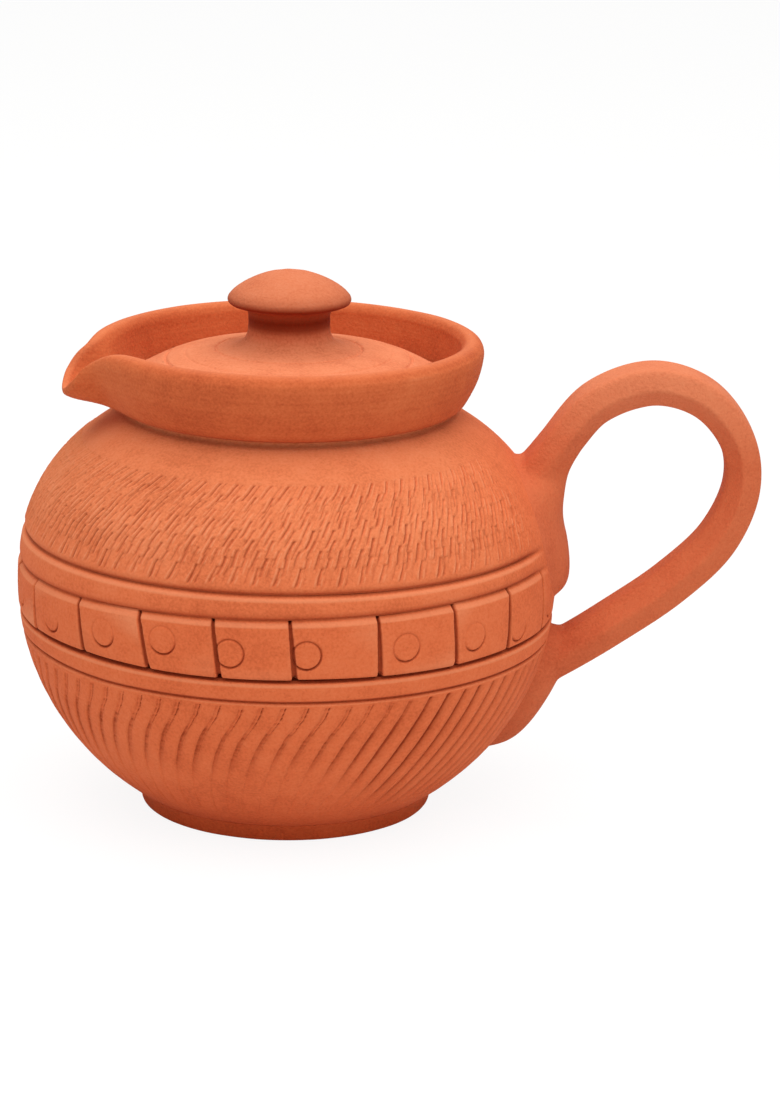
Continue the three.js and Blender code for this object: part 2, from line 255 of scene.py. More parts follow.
def makePiece(name, points, faces, sharp=(), attributes=None, smooth=True):
    mesh = bpy.data.meshes.new(name)
    mesh.from_pydata((np.asarray(points) * mm).tolist(), [], faces)
    mesh.polygons.foreach_set("use_smooth", np.full(len(mesh.polygons), smooth))
    for label, values in (attributes or {}).items():
        mesh.attributes.new(label, "FLOAT", "POINT").data.foreach_set("value", values.astype(np.float32))
    if len(sharp):
        ends = np.zeros(len(mesh.edges) * 2, int)
        mesh.edges.foreach_get("vertices", ends)
        marks = sharp[ends.reshape(-1, 2)]
        edgeMarks = (marks[:, 0] > 0) & (marks[:, 0] == marks[:, 1])
        mesh.attributes.new("sharp_edge", "BOOLEAN", "EDGE").data.foreach_set("value", edgeMarks)
    mesh.update()
    piece = bpy.data.objects.new(name, mesh)
    bpy.context.scene.collection.objects.link(piece)
    return piece


# Faces between two rings. Their numbers of points are the same, or one is a multiple of the other.
def bandFaces(lowStart, lowCount, highStart, highCount):
    sides = min(lowCount, highCount)
    sides = max(lowCount, highCount) if sides == 1 else sides
    edges = []
    for start, count, way in ((lowStart, lowCount, 1), (highStart, highCount, -1)):
        share = max(count // sides, 1)
        steps = np.arange(share + 1 if count > 1 else 1)[::way]
        edges.append(start + (np.arange(sides)[:, None] * share + steps) % count)
    return np.concatenate(edges, 1).tolist()


def shellFaces(counts, closed, first=0):
    starts = (first + np.concatenate([[0], np.cumsum(counts)[:-1]])).tolist()
    faces = []
    for band in range(len(counts) if closed else len(counts) - 1):
        after = (band + 1) % len(counts)
        faces += bandFaces(starts[band], counts[band], starts[after], counts[after])
    return faces


# Shell of rings. A ring is a dict with points, and what else its vertices carry. A closed shell joins
# its last ring to its first, and an open one starts and ends in a single point.
def ringShell(name, rings, closed):
    counts = [len(ring["points"]) for ring in rings]
    attributes = {label: np.concatenate([np.broadcast_to(np.asarray(ring[label], float), count)
                                         for ring, count in zip(rings, counts)])
                  for label in rings[0] if label not in ("points", "sharp")}
    sharp = np.repeat([place + 1 if ring.get("sharp") else 0 for place, ring in enumerate(rings)], counts)
    points = np.concatenate([ring["points"] for ring in rings])
    return makePiece(name, points, shellFaces(counts, closed), sharp, attributes)


def azimuths(count):
    return -math.pi + 2 * math.pi * np.arange(count) / count  # 0 faces the camera, a quarter turn the handle


def circle(radius, height, turn):
    return np.stack([radius * np.sin(turn), -radius * np.cos(turn), np.broadcast_to(height, turn.shape)], 1)


def bakeModifiers(piece, keepAll=False):
    graph = bpy.context.evaluated_depsgraph_get()
    plain = bpy.data.meshes.new_from_object(piece.evaluated_get(graph), preserve_all_data_layers=keepAll,
                                            depsgraph=graph)
    piece.modifiers.clear()
    piece.data = plain
    plain.name = piece.name


# Geometry node trees

thrownSizes = {"Ring Height": 0.09, "Ring Gap": 1.4, "Unevenness": 0.22, "Seed": 3}

# Low rings left by the wheel and slow ones by wiping, as a depth in mm. They follow the attributes
# azimuth and along, so they run round the pot whatever its shape. Each has its gap in mm, how fast it
# changes round the pot, its detail and its height.
thrownRows = [("east", "SINE", ("azimuth",)), ("north", "COSINE", ("azimuth",))]
thrownNoises = [("ring", "Ring Gap", 1, 2, "Ring Height"), ("slow", 24, 2.2, 1, "Unevenness")]
for name, gap, change, detail, height in thrownNoises:
    thrownRows += [
        (name + "Level", "DIVIDE", ("along", gap)),
        (name + "East", "MULTIPLY", ("east", change)),
        (name + "North", "MULTIPLY", ("north", change)),
        (name + "Place", joinNode, (name + "East", name + "North", name + "Level")),
        (name + "Noise", noiseNode, {"Vector": name + "Place", "W": "Seed", "Scale": 1, "Detail": detail},
         {"noise_dimensions": "4D"}),
        (name + "Part", "SUBTRACT", (name + "Noise", 0.5)),
        (name + "Depth", "MULTIPLY", (name + "Part", height)),
    ]
thrownRows.append(("rings", "ADD", ("ringDepth", "slowDepth")))
# The surface sinks by the depth, which is stored as the cut; from it the clay's colour paints shade in cuts
# and highlights on ridges
endRows = [
    ("depth", "ADD", ("shown", "rings")),
    ("normal", "GeometryNodeInputNormal", {}),
    ("metres", "MULTIPLY", ("depth", -mm)),
    ("move", "ShaderNodeVectorMath", {0: "normal", 3: "metres"}, {"operation": "SCALE"}),
    ("moved", "GeometryNodeSetPosition", {"Geometry": "Geometry", "Offset": "move"}),
    ("kept", "GeometryNodeStoreNamedAttribute", {"Geometry": "moved", "Name": "cut", "Value": "depth"},
     {"data_type": "FLOAT", "domain": "POINT"}),
    ("real", "GeometryNodeRealizeInstances", {"Geometry": "kept"}),
    ("clad", "GeometryNodeSetMaterial", {"Geometry": "real", "Material": "Clay"}),
]


# Rows of a line by its place across: where it starts, is whole, starts to fade and ends, how strong it is
# at first, and what it is multiplied by
def lineRows(name, place, start, whole, fade, end, strength, *gains):
    return [(name + "Up", rangeNode, (place, start, whole)),
            (name + "Down", rangeNode, (place, fade, end, strength, 0)),
            (name, "MULTIPLY", (name + "Up", name + "Down", *gains))]


# Rows of a noise that changes along the outline, once in each gap, and with what lies across
def noiseRows(name, across, gap, detail):
    return [(name + "Level", "DIVIDE", ("along", gap)),
            (name + "Place", joinNode, (across, name + "Level", "Seed")),
            (name, noiseNode, {"Vector": name + "Place", "Scale": 1, "Detail": detail})]


# Tree with named sizes that reads the mesh's labels. Its rows give the carving's depth in mm as shown.
def carvingTree(name, sizes, labels, rows):
    tree = bpy.data.node_groups.new(name, "GeometryNodeTree")
    addSocket = tree.interface.new_socket
    addSocket("Geometry", in_out="INPUT", socket_type="NodeSocketGeometry")
    for label, value in sizes.items():
        kind = "NodeSocketInt" if isinstance(value, int) else "NodeSocketFloat"
        addSocket(label, in_out="INPUT", socket_type=kind).default_value = value
    addSocket("Clay", in_out="INPUT", socket_type="NodeSocketMaterial")
    addSocket("Geometry", in_out="OUTPUT", socket_type="NodeSocketGeometry")
    start = addNode(tree, "NodeGroupInput")
    known = {"shown": 0.0, **{socket.name: socket for socket in start.outputs if socket.name}}
    for label in ("azimuth", "along", *labels):
        read = addNode(tree, "GeometryNodeInputNamedAttribute", {"Name": label}, {"data_type": "FLOAT"})
        known[label] = read.outputs[0]
    addRows(tree, known, thrownRows + rows + endRows)
    addNode(tree, "NodeGroupOutput", {"Geometry": known["clad"]})
    return tree


def applyTree(piece, tree, slot, sizes=None):
    sizes = {"Clay": clays[slot], **(sizes or {})}
    modifier = piece.modifiers.new(tree.name, "NODES")
    modifier.node_group = tree
    for item in tree.interface.items_tree:
        if item.in_out == "INPUT" and item.name in sizes:
            modifier[item.identifier] = sizes[item.name]
    bakeModifiers(piece, keepAll=True)


# Marks of a toothed roller on the shoulder. Each mark has a steep left wall that is one column of the
# mesh wide, a hook to the right at its top, and a floor that rises to the right. The mesh says how far
# each point is across and below the three rows of marks that reach it. Places across are in columns,
# and places down the mark in mm.
rollerSizes = {**thrownSizes, "Marks Round": 80.0, "Columns": 15.0, "Depth": 0.6, "Ridge": 0.21, "Ramp": 1.6,
               "Hook Ramp": 4.6, "Tail Start": 3.6, "Tail": 6.2}
markRows = ("top", "upper", "lower")


def markRowsOf(row):
    across, down = row + "Across", row + "Down"
    return [
        ("number", "FLOOR", (across,)),
        ("share", "FRACT", (across,)),
        ("own", "FLOORED_MODULO", ("number", "Marks Round")),
        ("chancePlace", joinNode, ("own", row + "Row", "Seed")),
        ("chance", chanceNode, {"Vector": "chancePlace"}),
        ("strength", rangeNode, ("chance", 0, 1, 0.7, 1.1)),
        ("column", "MULTIPLY", ("share", "Columns")),
        ("wall", rangeNode, ("column",)),
        ("ownRamp", "MULTIPLY_ADD", ("chance", 1, "Ramp")),
        ("rampSpan", rangeNode, (down, 0.35, 1.2, "Hook Ramp", "ownRamp"), softly),
        ("past", "SUBTRACT", ("column", 1)),
        ("rampShare", "DIVIDE", ("past", "rampSpan")),
        ("ramp", rangeNode, ("rampShare", 0, 1, 1, 0)),
        ("hook", rangeNode, (down, 0, 0.3)),
        ("ownTail", "MULTIPLY_ADD", ("chance", 1.6, "Tail Start")),
        ("fade", rangeNode, (down, "ownTail", "Tail", 1, 0), softly),
        ("first", "MULTIPLY", ("wall", "ramp")),
        # the other teeth leave a second and a third, fainter line
        *lineRows("second", "column", 4.9, 5.9, 6.1, 8.1, "chance", 0.75),
        ("thirdShare", "SUBTRACT", (1, "chance")),
        *lineRows("third", "column", 8.9, 9.9, 10.1, 12.1, 0.9, "thirdShare"),
        ("lines", "MAXIMUM", ("first", "second", "third")),
        ("reach", "MULTIPLY", ("hook", "fade")),
        (row + "Mark", "MULTIPLY", ("lines", "reach", "strength")),
        # the clay that the tool pushed up stands as a low ridge on each side
        ("leftOf", rangeNode, ("column", 12.4, 14.7), softly),
        ("onEdge", rangeNode, ("column", 0, 1, 1, 0)),
        *lineRows("rightRidge", "column", 2.6, 3.5, 4.1, 5.2, 1),
        ("ridge", "MAXIMUM", ("leftOf", "onEdge", "rightRidge")),
        (row + "Ridge", "MULTIPLY", ("ridge", "reach")),
    ]


rollerLabels = [row + part for row in markRows for part in ("Across", "Down", "Row")]
rollerRows = sum([markRowsOf(row) for row in markRows], [])
rollerTree = carvingTree("rollerMarks", rollerSizes, ["plain"] + rollerLabels, rollerRows + [
    ("mark", "MAXIMUM", [row + "Mark" for row in markRows]),
    ("markDepth", "MULTIPLY", ("mark", "Depth")),
    ("ridgeAll", "MAXIMUM", [row + "Ridge" for row in markRows]),
    ("ridgeHeight", "MULTIPLY", ("ridgeAll", "Ridge")),
    ("ridged", "SUBTRACT", ("markDepth", "ridgeHeight")),
    ("shown", "MULTIPLY", ("ridged", "plain")),
])

# Slanting flutes on the lower belly: a deep narrow cut on the left of each, a second fine one beside
# it where the tool stuttered, and a facet that rises to the right. The mesh says how far across its
# flute each point is, from 0 to 1.
fluteSizes = {**thrownSizes, "Facet Depth": 0.28, "Cut Depth": 1.05, "Second Depth": 0.6, "Tick Gap": 0.8}
fluteTree = carvingTree("slantingFlutes", fluteSizes, ("share", "flute", "plain", "cutShare", "rough"), [
    ("ownChance", chanceNode, {"W": "flute"}, {"noise_dimensions": "1D"}),
    ("rising", "SUBTRACT", (1, "share")),
    ("facet", "POWER", ("rising", 1.4)),
    ("wall", rangeNode, ("share", 0, 0.018)),
    ("facetGain", rangeNode, ("rough", 0.15, 0.6, 2.3, 0.62)),
    ("facetDepth", "MULTIPLY", ("facet", "facetGain", "Facet Depth")),
    # the straight flutes of the right are cut wider and cleaner
    ("right", rangeNode, ("rough", 0.15, 0.6, 1, 0)),
    ("cutMid", "MULTIPLY_ADD", ("right", 0.1, 0.09)),
    ("cutEnd", "MULTIPLY_ADD", ("right", 0.12, 0.15)),
    ("cutShape", rangeNode, ("share", "cutMid", "cutEnd", 1, 0)),
    *noiseRows("run", "flute", 3.4, 1),
    ("runStrength", rangeNode, ("run", 0.3, 0.7, 0.4, 1.15)),
    ("ownStrength", rangeNode, ("ownChance", 0, 1, 0.7, 1)),
    ("smoothly", rangeNode, ("rough", 0.1, 0.6, 1.1, 0.3)),
    # where the tool stuttered, the cut is a row of ticks with a second row beside it
    *noiseRows("tick", "flute", "Tick Gap", 0),
    ("ticked", rangeNode, ("tick", 0.38, 0.6, 0.1, 1)),
    ("whole", "MAXIMUM", ("ticked", "right")),
    ("cutShown", "MULTIPLY", ("cutShape", "Cut Depth", "ownStrength", "runStrength", "smoothly", "whole",
                              "cutShare")),
    *lineRows("second", "share", 0.165, 0.195, 0.225, 0.26, 1, "Second Depth", "ticked", "rough", "cutShare"),
    ("both", "ADD", ("cutShown", "second", "facetDepth")),
    ("shown", "MULTIPLY", ("both", "wall", "plain")),
])

# Tiles cut round the widest part, each stamped with a ring. The mesh says how far a point is from
# the nearest cut and from its ring's centre, in mm, and how deep the stamp went on each side.
tileSizes = {**thrownSizes, "Cut Depth": 1.2, "Edge Wear": 0.06, "Ring Radius": 4.12, "Ring Width": 0.46,
             "Ring Depth": 0.75}
tileLabels = ("cutAway", "cutWidth", "plain", "ringAway", "ringPress", "tilt")
tileTree = carvingTree("stampedTiles", tileSizes, tileLabels, [
    *noiseRows("edge", "azimuth", 1.6, 2),
    ("edgePart", "MULTIPLY_ADD", ("edge", 0.24, -0.12)),
    ("ragged", "ADD", ("cutAway", "edgePart")),
    ("cutFloor", "MULTIPLY", ("cutWidth", 0.55)),
    ("valley", rangeNode, ("ragged", "cutFloor", "cutWidth", 1, 0)),
    ("valleyDepth", "MULTIPLY", ("valley", "Cut Depth")),
    ("wearEnd", "ADD", ("cutWidth", 0.6)),
    ("wear", rangeNode, ("ragged", 0.3, "wearEnd", 1, 0), softly),
    ("wearDepth", "MULTIPLY", ("wear", "Edge Wear")),
    ("fromRing", "SUBTRACT", ("ringAway", "Ring Radius")),
    ("fromLine", "ABSOLUTE", ("fromRing",)),
    ("line", rangeNode, ("fromLine", 0.08, "Ring Width", 1, 0), softly),
    ("ringCut", "MULTIPLY", ("line", "ringPress", "Ring Depth")),
    ("tilted", "ADD", ("valleyDepth", "wearDepth", "ringCut", "tilt")),
    ("shown", "MULTIPLY", ("tilted", "plain")),
])
thrownTree = carvingTree("thrownRings", thrownSizes, (), [])
print("carving trees built")

# Pot body

# Turned grooves. The heights hold at the azimuths in degrees, as the rings weren't turned quite level.
# The shape gives steps up from the groove's middle, each with its depth, then come the parts that take painted
# shade and the lower edge that takes a painted highlight.
grooves = {
    "shoulderLine": {"heights": {0: 84.3}, "shape": [(-1.4, 0), (-1.1, 0.08), (-0.45, 1.0), (0, 1.25),
                                                     (0.45, 1.1), (1.0, 0.45), (1.7, 0.12), (2.4, 0)],
                     "paintedDarkness": [(-0.55, 0), (-0.25, 0.8), (0.6, 0.75), (1.1, 0.3), (2.0, 0)],
                     "pale": [(-1.9, 0), (-1.5, 1), (-0.85, 1), (-0.6, 0)]},
    "tileTop": {"heights": {-70: 75.6, -45: 76.3, -25: 77.0, 0: 77.5, 35: 78.2, 70: 78.5, 180: 77.4},
                "shape": [(-1.9, 0), (-1.6, 0.08), (-0.5, 0.95), (0, 1.2), (0.35, 1.1), (0.8, 0.6),
                          (1.5, 0.25), (2.4, 0.08), (3.2, 0)],
                "paintedDarkness": [(-0.5, 0), (-0.15, 0.75), (0.4, 0.85), (0.8, 0.4), (2.0, 0)],
                "pale": [(-2.2, 0), (-1.8, 1), (-0.9, 1), (-0.5, 0)]},
    "tileFoot": {"heights": {-70: 60.6, -40: 60.1, -20: 59.8, 180: 59.8},
                 "shape": [(-1.6, 0), (-1.2, 0.08), (-0.65, 0.35), (-0.4, 1.3), (0, 1.8), (0.3, 1.65),
                           (0.5, 0.8), (0.7, 0.22), (1.2, 0.08), (1.8, 0)],
                 "paintedDarkness": [(-0.65, 0), (-0.4, 0.95), (0.4, 1.1), (0.65, 0.25), (1.4, 0)],
                 "pale": [(-2.0, 0), (-1.6, 0.9), (-1.0, 0.9), (-0.8, 0)]},
    "fluteLine": {"heights": {-65: 54.4, -40: 53.5, 0: 53.3, 180: 53.4},
                  "shape": [(-0.9, 0), (-0.7, 0.06), (-0.25, 0.7), (0, 0.85), (0.3, 0.7), (0.6, 0.2),
                            (1.2, 0)],
                  "paintedDarkness": [(-0.45, 0), (-0.2, 0.9), (0.3, 0.95), (0.6, 0.25), (1.0, 0)],
                  "pale": [(-1.1, 0), (-0.85, 0.5), (-0.6, 0.5), (-0.45, 0)]},
}
smearSettings = {
    "azimuth": 90, "inner": 11, "outer": 23,  # degrees from the handle's middle where the marks end and start
    "low": 62, "high": 68,  # heights over which the upper smear begins
    "spread": 5, "spreadTop": 96,  # it is this much wider, in degrees, from that height on
    "lowerInner": 9.5, "lowerOuter": 11.5, "lowerTop": 55, "lowerBottom": 14,
}


def bump(value, low, high):
    share = np.clip((value - low) / (high - low), 0, 1)
    return share * share * (3 - 2 * share)


def grooveHeight(name, turn):
    heights = grooves[name]["heights"]
    return np.interp(np.degrees(turn), list(heights), list(heights.values()), period=360)


# 1 where the belly is as it was carved, 0 where the handle's clay was smeared over it
def plainShare(turn, height):
    sizes = smearSettings
    away = np.abs(np.degrees(turn) - sizes["azimuth"]) % 360
    away = np.minimum(away, 360 - away)
    spread = bump(height, sizes["low"], sizes["spreadTop"]) * sizes["spread"]
    upper = (1 - bump(away, sizes["inner"] + spread, sizes["outer"] + spread)) * bump(
        height, sizes["low"], sizes["high"])
    lower = (1 - bump(away, sizes["lowerInner"], sizes["lowerOuter"])) * (
        height < sizes["lowerTop"]) * (height > sizes["lowerBottom"])
    return 1 - np.maximum(upper, lower)


# Sum over the grooves of their shape, painted shade or painted highlight part at a height
def inGrooves(part, turn, height):
    total = np.zeros(len(turn))
    for name, groove in grooves.items():
        steps, values = zip(*groove[part])
        total = total + np.interp(height - grooveHeight(name, turn), steps, values, left=0, right=0)
    return total


# One ring of the belly's outside, with the grooves filled where the handle was smeared
def bellyRing(turn, height, **more):
    height = np.broadcast_to(np.asarray(height, float), turn.shape)
    plain = plainShare(turn, height)
    # the grooves' painted shade and painted highlight, left out where the handle was smeared
    shape, paintedDarkness, pale = (inGrooves(part, turn, height) * plain for part in ("shape", "paintedDarkness", "pale"))
    return {"points": circle(bellyRadius(height) - shape, height, turn), "azimuth": turn,
            "along": lengthAt(height), "plain": plain, "turned": paintedDarkness, "worn": pale, **more}


# One ring of a wall or floor inside, whose length starts afresh at 300 mm
def wallRing(turn, radius, height, sharp=False, **more):
    return {"points": circle(radius, height, turn), "azimuth": turn, "along": np.mean(height) + 300,
            "plain": 0, "turned": 0, "worn": 0, "sharp": sharp, **more}


def insideRings(turn, heights, sharpPlaces, **more):
    return [wallRing(turn, bellyRadius(height) - bellyShape["wall"], height, place in sharpPlaces, **more)
            for place, height in enumerate(heights)]


bodyPieces = []

# Shoulder with the roller's marks and the smooth neck above them. Lengths are along the outline in mm.
# A row of marks has the length at its top, and the azimuth in degrees of its first mark. The columns of
# the mesh lean with the marks, by the degrees per mm that hold at the lengths.
shoulderSettings = {
    "marksRound": 80, "perMark": 15,
    "rows": [(124.5, 1.4), (120.6, 2.2), (118.2, 1.8), (115.85, 1.65), (112.9, 1.87), (110.35, 2.6),
             (107.3, 2.62), (104.3, 3.97), (102.25, 1.16), (99.45, 4.24)],
    "lean": [(90, 0.25), (102, 0.25), (106, 0.38), (114, 0.4), (118, 0.47), (140, 0.47)],
    "rowStep": 0.51, "markTop": 0.3, "marksEnd": 125.9, "neckRadius": 47.8, "neckTop": 120.8, "throat": 43.44,
    # the columns wander by waves: share, number round the pot, turn per mm of length and start in radians
    "wander": 0.2, "waves": [(0.5, 7, 0.35, 0), (0.3, 17, -0.9, 1), (0.35, 31, 0.5, 2)],
}
leanLengths = np.linspace(0, 150, 1501)
leans = np.interp(leanLengths, *zip(*shoulderSettings["lean"]))
leanTurns = np.cumsum(leans) * (leanLengths[1] - leanLengths[0])


# Azimuths of a ring of the shoulder, in radians, at a length along the outline
def shoulderTurn(length, share):
    sizes = shoulderSettings
    step = 360 / (sizes["marksRound"] * sizes["perMark"]) * share
    degrees = step * np.arange(round(360 / step)) + np.interp(length, leanLengths, leanTurns)
    wave = np.radians(degrees)
    wander = sum(part * np.sin(number * wave + lean * length + start)
                 for part, number, lean, start in sizes["waves"])
    return np.radians(degrees + sizes["wander"] * wander)


# How far each point of a ring is across and below the three rows of marks that reach it
def markPlaces(length):
    sizes = shoulderSettings
    count = sizes["marksRound"] * sizes["perMark"]
    step = 360 / count
    last = sum(top >= length for top, first in sizes["rows"]) - 1
    places = {}
    for name, row in (("lower", last), ("upper", last - 1), ("top", last - 2)):
        top, first = sizes["rows"][max(row, 0)]
        start = round((first - float(np.interp(top, leanLengths, leanTurns))) / step)
        places[name + "Across"] = (np.arange(count) - start + 0.01) / sizes["perMark"]
        places[name + "Down"] = top - length if row >= 0 else -1
        places[name + "Row"] = row
    return places


def rolledShoulder(sizes):
    groove = grooves["shoulderLine"]["heights"][0]
    tops = [top for top, first in sizes["rows"]]
    lengths = []
    for top, after in zip(tops, tops[1:] + [lengthAt(groove + 2.8)]):
        start = top - sizes["markTop"]
        steps = max(3, round((start - after) / sizes["rowStep"]))
        lengths += [top] + list(np.linspace(start, after, steps + 1)[:-1])
    lengths += [lengthAt(groove + rise) for rise in (2.8, 2.3, 1.8, 1.4, 1.05, 0.75, 0.5, 0.25, 0.1)]
    bare = {row + part: value for row in markRows for part, value in (("Across", 0), ("Down", -1), ("Row", 0))}
    outside = [bellyRing(shoulderTurn(length, 1), heightAt(length), **markPlaces(length))
               for length in reversed(lengths)]
    outside[0]["sharp"] = True
    for length in np.linspace(sizes["marksEnd"], lengthAt(bellyShape["shoulderTop"]), 12):
        outside.append(bellyRing(shoulderTurn(length, 3), heightAt(length), **bare))
    turn = shoulderTurn(lengthAt(bellyShape["shoulderTop"]), 3)
    neck = [wallRing(turn, sizes["neckRadius"] + 0.1, bellyShape["shoulderTop"] + 0.5, **bare),
            wallRing(turn, sizes["neckRadius"], sizes["neckTop"], True, **bare),
            wallRing(turn, sizes["throat"], sizes["neckTop"], True, **bare)]
    levels = list(np.linspace(bellyShape["shoulderTop"] - 1.5, groove + 0.1, 6))
    inner = insideRings(turn, levels[:-1], (), **bare)
    inner += insideRings(shoulderTurn(lengths[-1], 1), levels[-1:], (0,), **bare)
    return ringShell("rolledShoulder", outside + neck + inner, True)


shoulder = rolledShoulder(shoulderSettings)
applyTree(shoulder, rollerTree, "body_clay")
bodyPieces.append((shoulder, "pot_shoulder"))
print("shoulder rolled:", len(shoulder.data.polygons), "faces")

# Plain bands above and below the tiles
bandSettings = {"columns": 480, "rows": 30}


def plainBand(name, low, high, sizes):
    turn = azimuths(sizes["columns"])
    foot, top = grooveHeight(low, turn), grooveHeight(high, turn)
    outside = [bellyRing(turn, foot + (top - foot) * share) for share in np.linspace(0, 1, sizes["rows"])]
    outside[0]["sharp"] = outside[-1]["sharp"] = True
    inside = insideRings(turn, [top, (top + foot) / 2, foot], (0, 2))
    return ringShell(name, outside + inside, True)


for name, node, low, high in (("upperBand", "tile_band", "tileTop", "shoulderLine"),
                              ("lowerBand", "pot_bowl", "fluteLine", "tileFoot")):
    band = plainBand(name, low, high, bandSettings)
    applyTree(band, thrownTree, "body_clay", {"Ring Height": 0.16, "Ring Gap": 0.9})
    bodyPieces.append((band, node))

# Tiles. Those that show are placed one by one: the azimuths in degrees of the cut on the tile's left at
# its top and foot, the ring's azimuth and height, and how whole the ring is: 1 is a full ring, 0 only
# its lower right. The rest follow evenly.
tileSettings = {
    "shown": [(-64.8, -64.2, -56.6, 67.2, 0.05), (-46.8, -45.2, -39.2, 68.3, 0.3),
              (-30.1, -27.8, -24.4, 69.6, 0.4), (-13.6, -12.1, -9.95, 67.7, 0.85),
              (2.2, 3.3, 5.65, 67.6, 0.95), (20.4, 21.0, 26.6, 68.1, 0.5),
              (38.1, 38.9, 43.7, 67.5, 0.35), (55.1, 54.8, 58.6, 65.8, 0.1)],
    "tilesRound": 22, "seed": 11, "rows": 66, "leastPress": 0.12, "ringHeight": 67.6,
    "topWidth": 0.56, "footWidth": 0.92,  # half the width of a cut, in mm
    "nearCut": [0, 0.2, 0.4, 0.6, 0.85, 1.15], "ringZone": 4.8, "ringColumns": 36, "plainColumns": 14,
}


def tileLayout(sizes):
    draws = np.random.default_rng(sizes["seed"])
    tiles = [list(tile) for tile in sizes["shown"]]
    start, end = tiles[-1][0], tiles[0][0] + 360
    rest = sizes["tilesRound"] - len(tiles)
    for step in range(1, rest + 1):
        left = start + (end - start) * step / (rest + 1) + draws.uniform(-0.8, 0.8)
        tiles.append([left, left + draws.uniform(-0.3, 1.6), left + draws.uniform(5, 7),
                      sizes["ringHeight"] + draws.uniform(-1, 1), draws.uniform(0.1, 0.8)])
    return np.array(tiles), draws.uniform(-0.15, 0.15, (len(tiles), 2))


def stampedTiles(sizes):
    tiles, tilts = tileLayout(sizes)
    perDegree = math.radians(1) * bellyShape["radius"]
    after = np.roll(tiles, -1, 0)
    after[-1, :3] += 360
    # the columns follow the cuts, crowd beside them and lie close where the ring is
    owners, shares = [], []
    for number, tile in enumerate(tiles):
        width = (after[number, :2].mean() - tile[:2].mean()) * perDegree
        middle = (tile[2] - tile[:2].mean()) * perDegree
        near = np.array(sizes["nearCut"])
        first = max(near[-1] + 0.25, middle - sizes["ringZone"])
        ring = np.linspace(first, middle + sizes["ringZone"], sizes["ringColumns"])
        plain = np.linspace(ring[-1], width - near[-1], sizes["plainColumns"])[1:-1]
        offsets = np.concatenate([near, ring, plain, width - near[:0:-1]]) / width
        owners += [number] * len(offsets)
        shares += list(offsets)
    owners, shares = np.array(owners), np.array(shares)
    outside = []
    for rise in np.linspace(0, 1, sizes["rows"]):
        left = tiles[owners, 1] + (tiles[owners, 0] - tiles[owners, 1]) * rise
        right = after[owners, 1] + (after[owners, 0] - after[owners, 1]) * rise
        degrees = left + (right - left) * shares
        turn = np.radians(degrees)
        foot, top = grooveHeight("tileFoot", turn) + 0.35, grooveHeight("tileTop", turn)
        height = foot + (top - foot) * rise
        side, up = (degrees - tiles[owners, 2]) * perDegree, height - tiles[owners, 3]
        away = np.maximum(np.hypot(side, up), 0.01)
        lower = 0.5 - 0.5 * up / away + 0.12 * side / away  # the stamp was pressed on its lower edge
        full = tiles[owners, 4]
        press = np.clip(full + (1 - full) * bump(lower, 0.55, 0.95), sizes["leastPress"], 1.1)
        fromCut = np.minimum(shares, 1 - shares) * (right - left) * perDegree
        width = np.full(len(turn), sizes["footWidth"] + (sizes["topWidth"] - sizes["footWidth"]) * rise)
        tilt = tilts[owners, 0] * (2 * shares - 1) + tilts[owners, 1] * (2 * rise - 1)
        ring = bellyRing(turn, height, ringAway=away, ringPress=press * (0.75 + 0.35 * lower), cutAway=fromCut,
                         cutWidth=width, tilt=tilt)
        # painted highlight along the tiles' edges beside the cuts
        fromEdge = fromCut - width
        edgeHighlight = 0.25 * bump(fromEdge, -0.1, 0.2) * (1 - bump(fromEdge, 0.2, 0.6))
        ring["worn"] = np.maximum(ring["worn"] * bump(fromCut, 0.2, 0.9), edgeHighlight)
        outside.append(ring)
    outside[0]["sharp"] = outside[-1]["sharp"] = True
    bare = {"ringPress": 0, "cutWidth": 0, "tilt": 0, "ringAway": 50, "cutAway": 50}
    inside = insideRings(turn, [top, (top + foot) / 2, foot], (0, 2), **bare)
    return ringShell("tileBand", outside + inside, True)


tileBand = stampedTiles(tileSettings)
applyTree(tileBand, tileTree, "body_clay")
bodyPieces.append((tileBand, "tile_band"))
print("tiles stamped:", len(tileBand.data.polygons), "faces")

# Fluted lower belly with the floor of the pot. The lean gives how far the flutes fall back, in degrees
# per mm, at lengths along the outline: on the left they swing in an S, on the right they are straight.
fluteSettings = {
    "flutesRound": 80, "start": 58.9, "stutter": 0.11, "unevenness": 0.3,
    "columns": [0, 0.018, 0.06, 0.1, 0.13, 0.165, 0.195, 0.225, 0.26, 0.4, 0.58, 0.8],
    "leftLean": [(0, 0.1), (34, 0.2), (39, 0.28), (45, 0.32), (47, 0.4), (50, 0.48), (54, 0.44), (55.5, 0.25),
                 (60, 0.22)],
    "rightLean": [(0, 0.25), (20, 0.31), (60, 0.31)],
    "leftPhase": 0.7, "rightPhase": 1.5,
    # lengths where the flutes fade out on the left and on the right, and from there the reach of the fade
    "end": 35, "rightEnd": 17, "facetFade": (-8, 5), "cutFade": (-3, 11),
    "endWaves": [(2.5, 3, 0.6), (1.5, 7, 0)],  # size in mm, number round the pot and start in radians
    "lowShare": 0.36, "lowFade": (7, 16),  # what is left of the facets below that, and where it fades
    # the cuts jump aside every few mm where the tool stuttered, and less near the groove
    "seed": 7, "jump": 1.2, "jumpStep": 1.4, "calmJumps": 8, "calm": 0.6,
    # rings of the mesh: lengths at the foot, then how close they lie up to the groove's edge
    "footLengths": (0, 12, 10), "carvedFrom": 12.6, "gap": 0.62, "closeFrom": 9, "closeGap": 0.45,
    "grooveEdge": 1.3,
    "insideLevels": [40, 32, 24, 19, 15.5, 13.2],
    "floorRings": [(39, 11.9, 4), (33, 11.3, 8), (16, 11.3, 8)],  # radius, height, and every how many columns
}


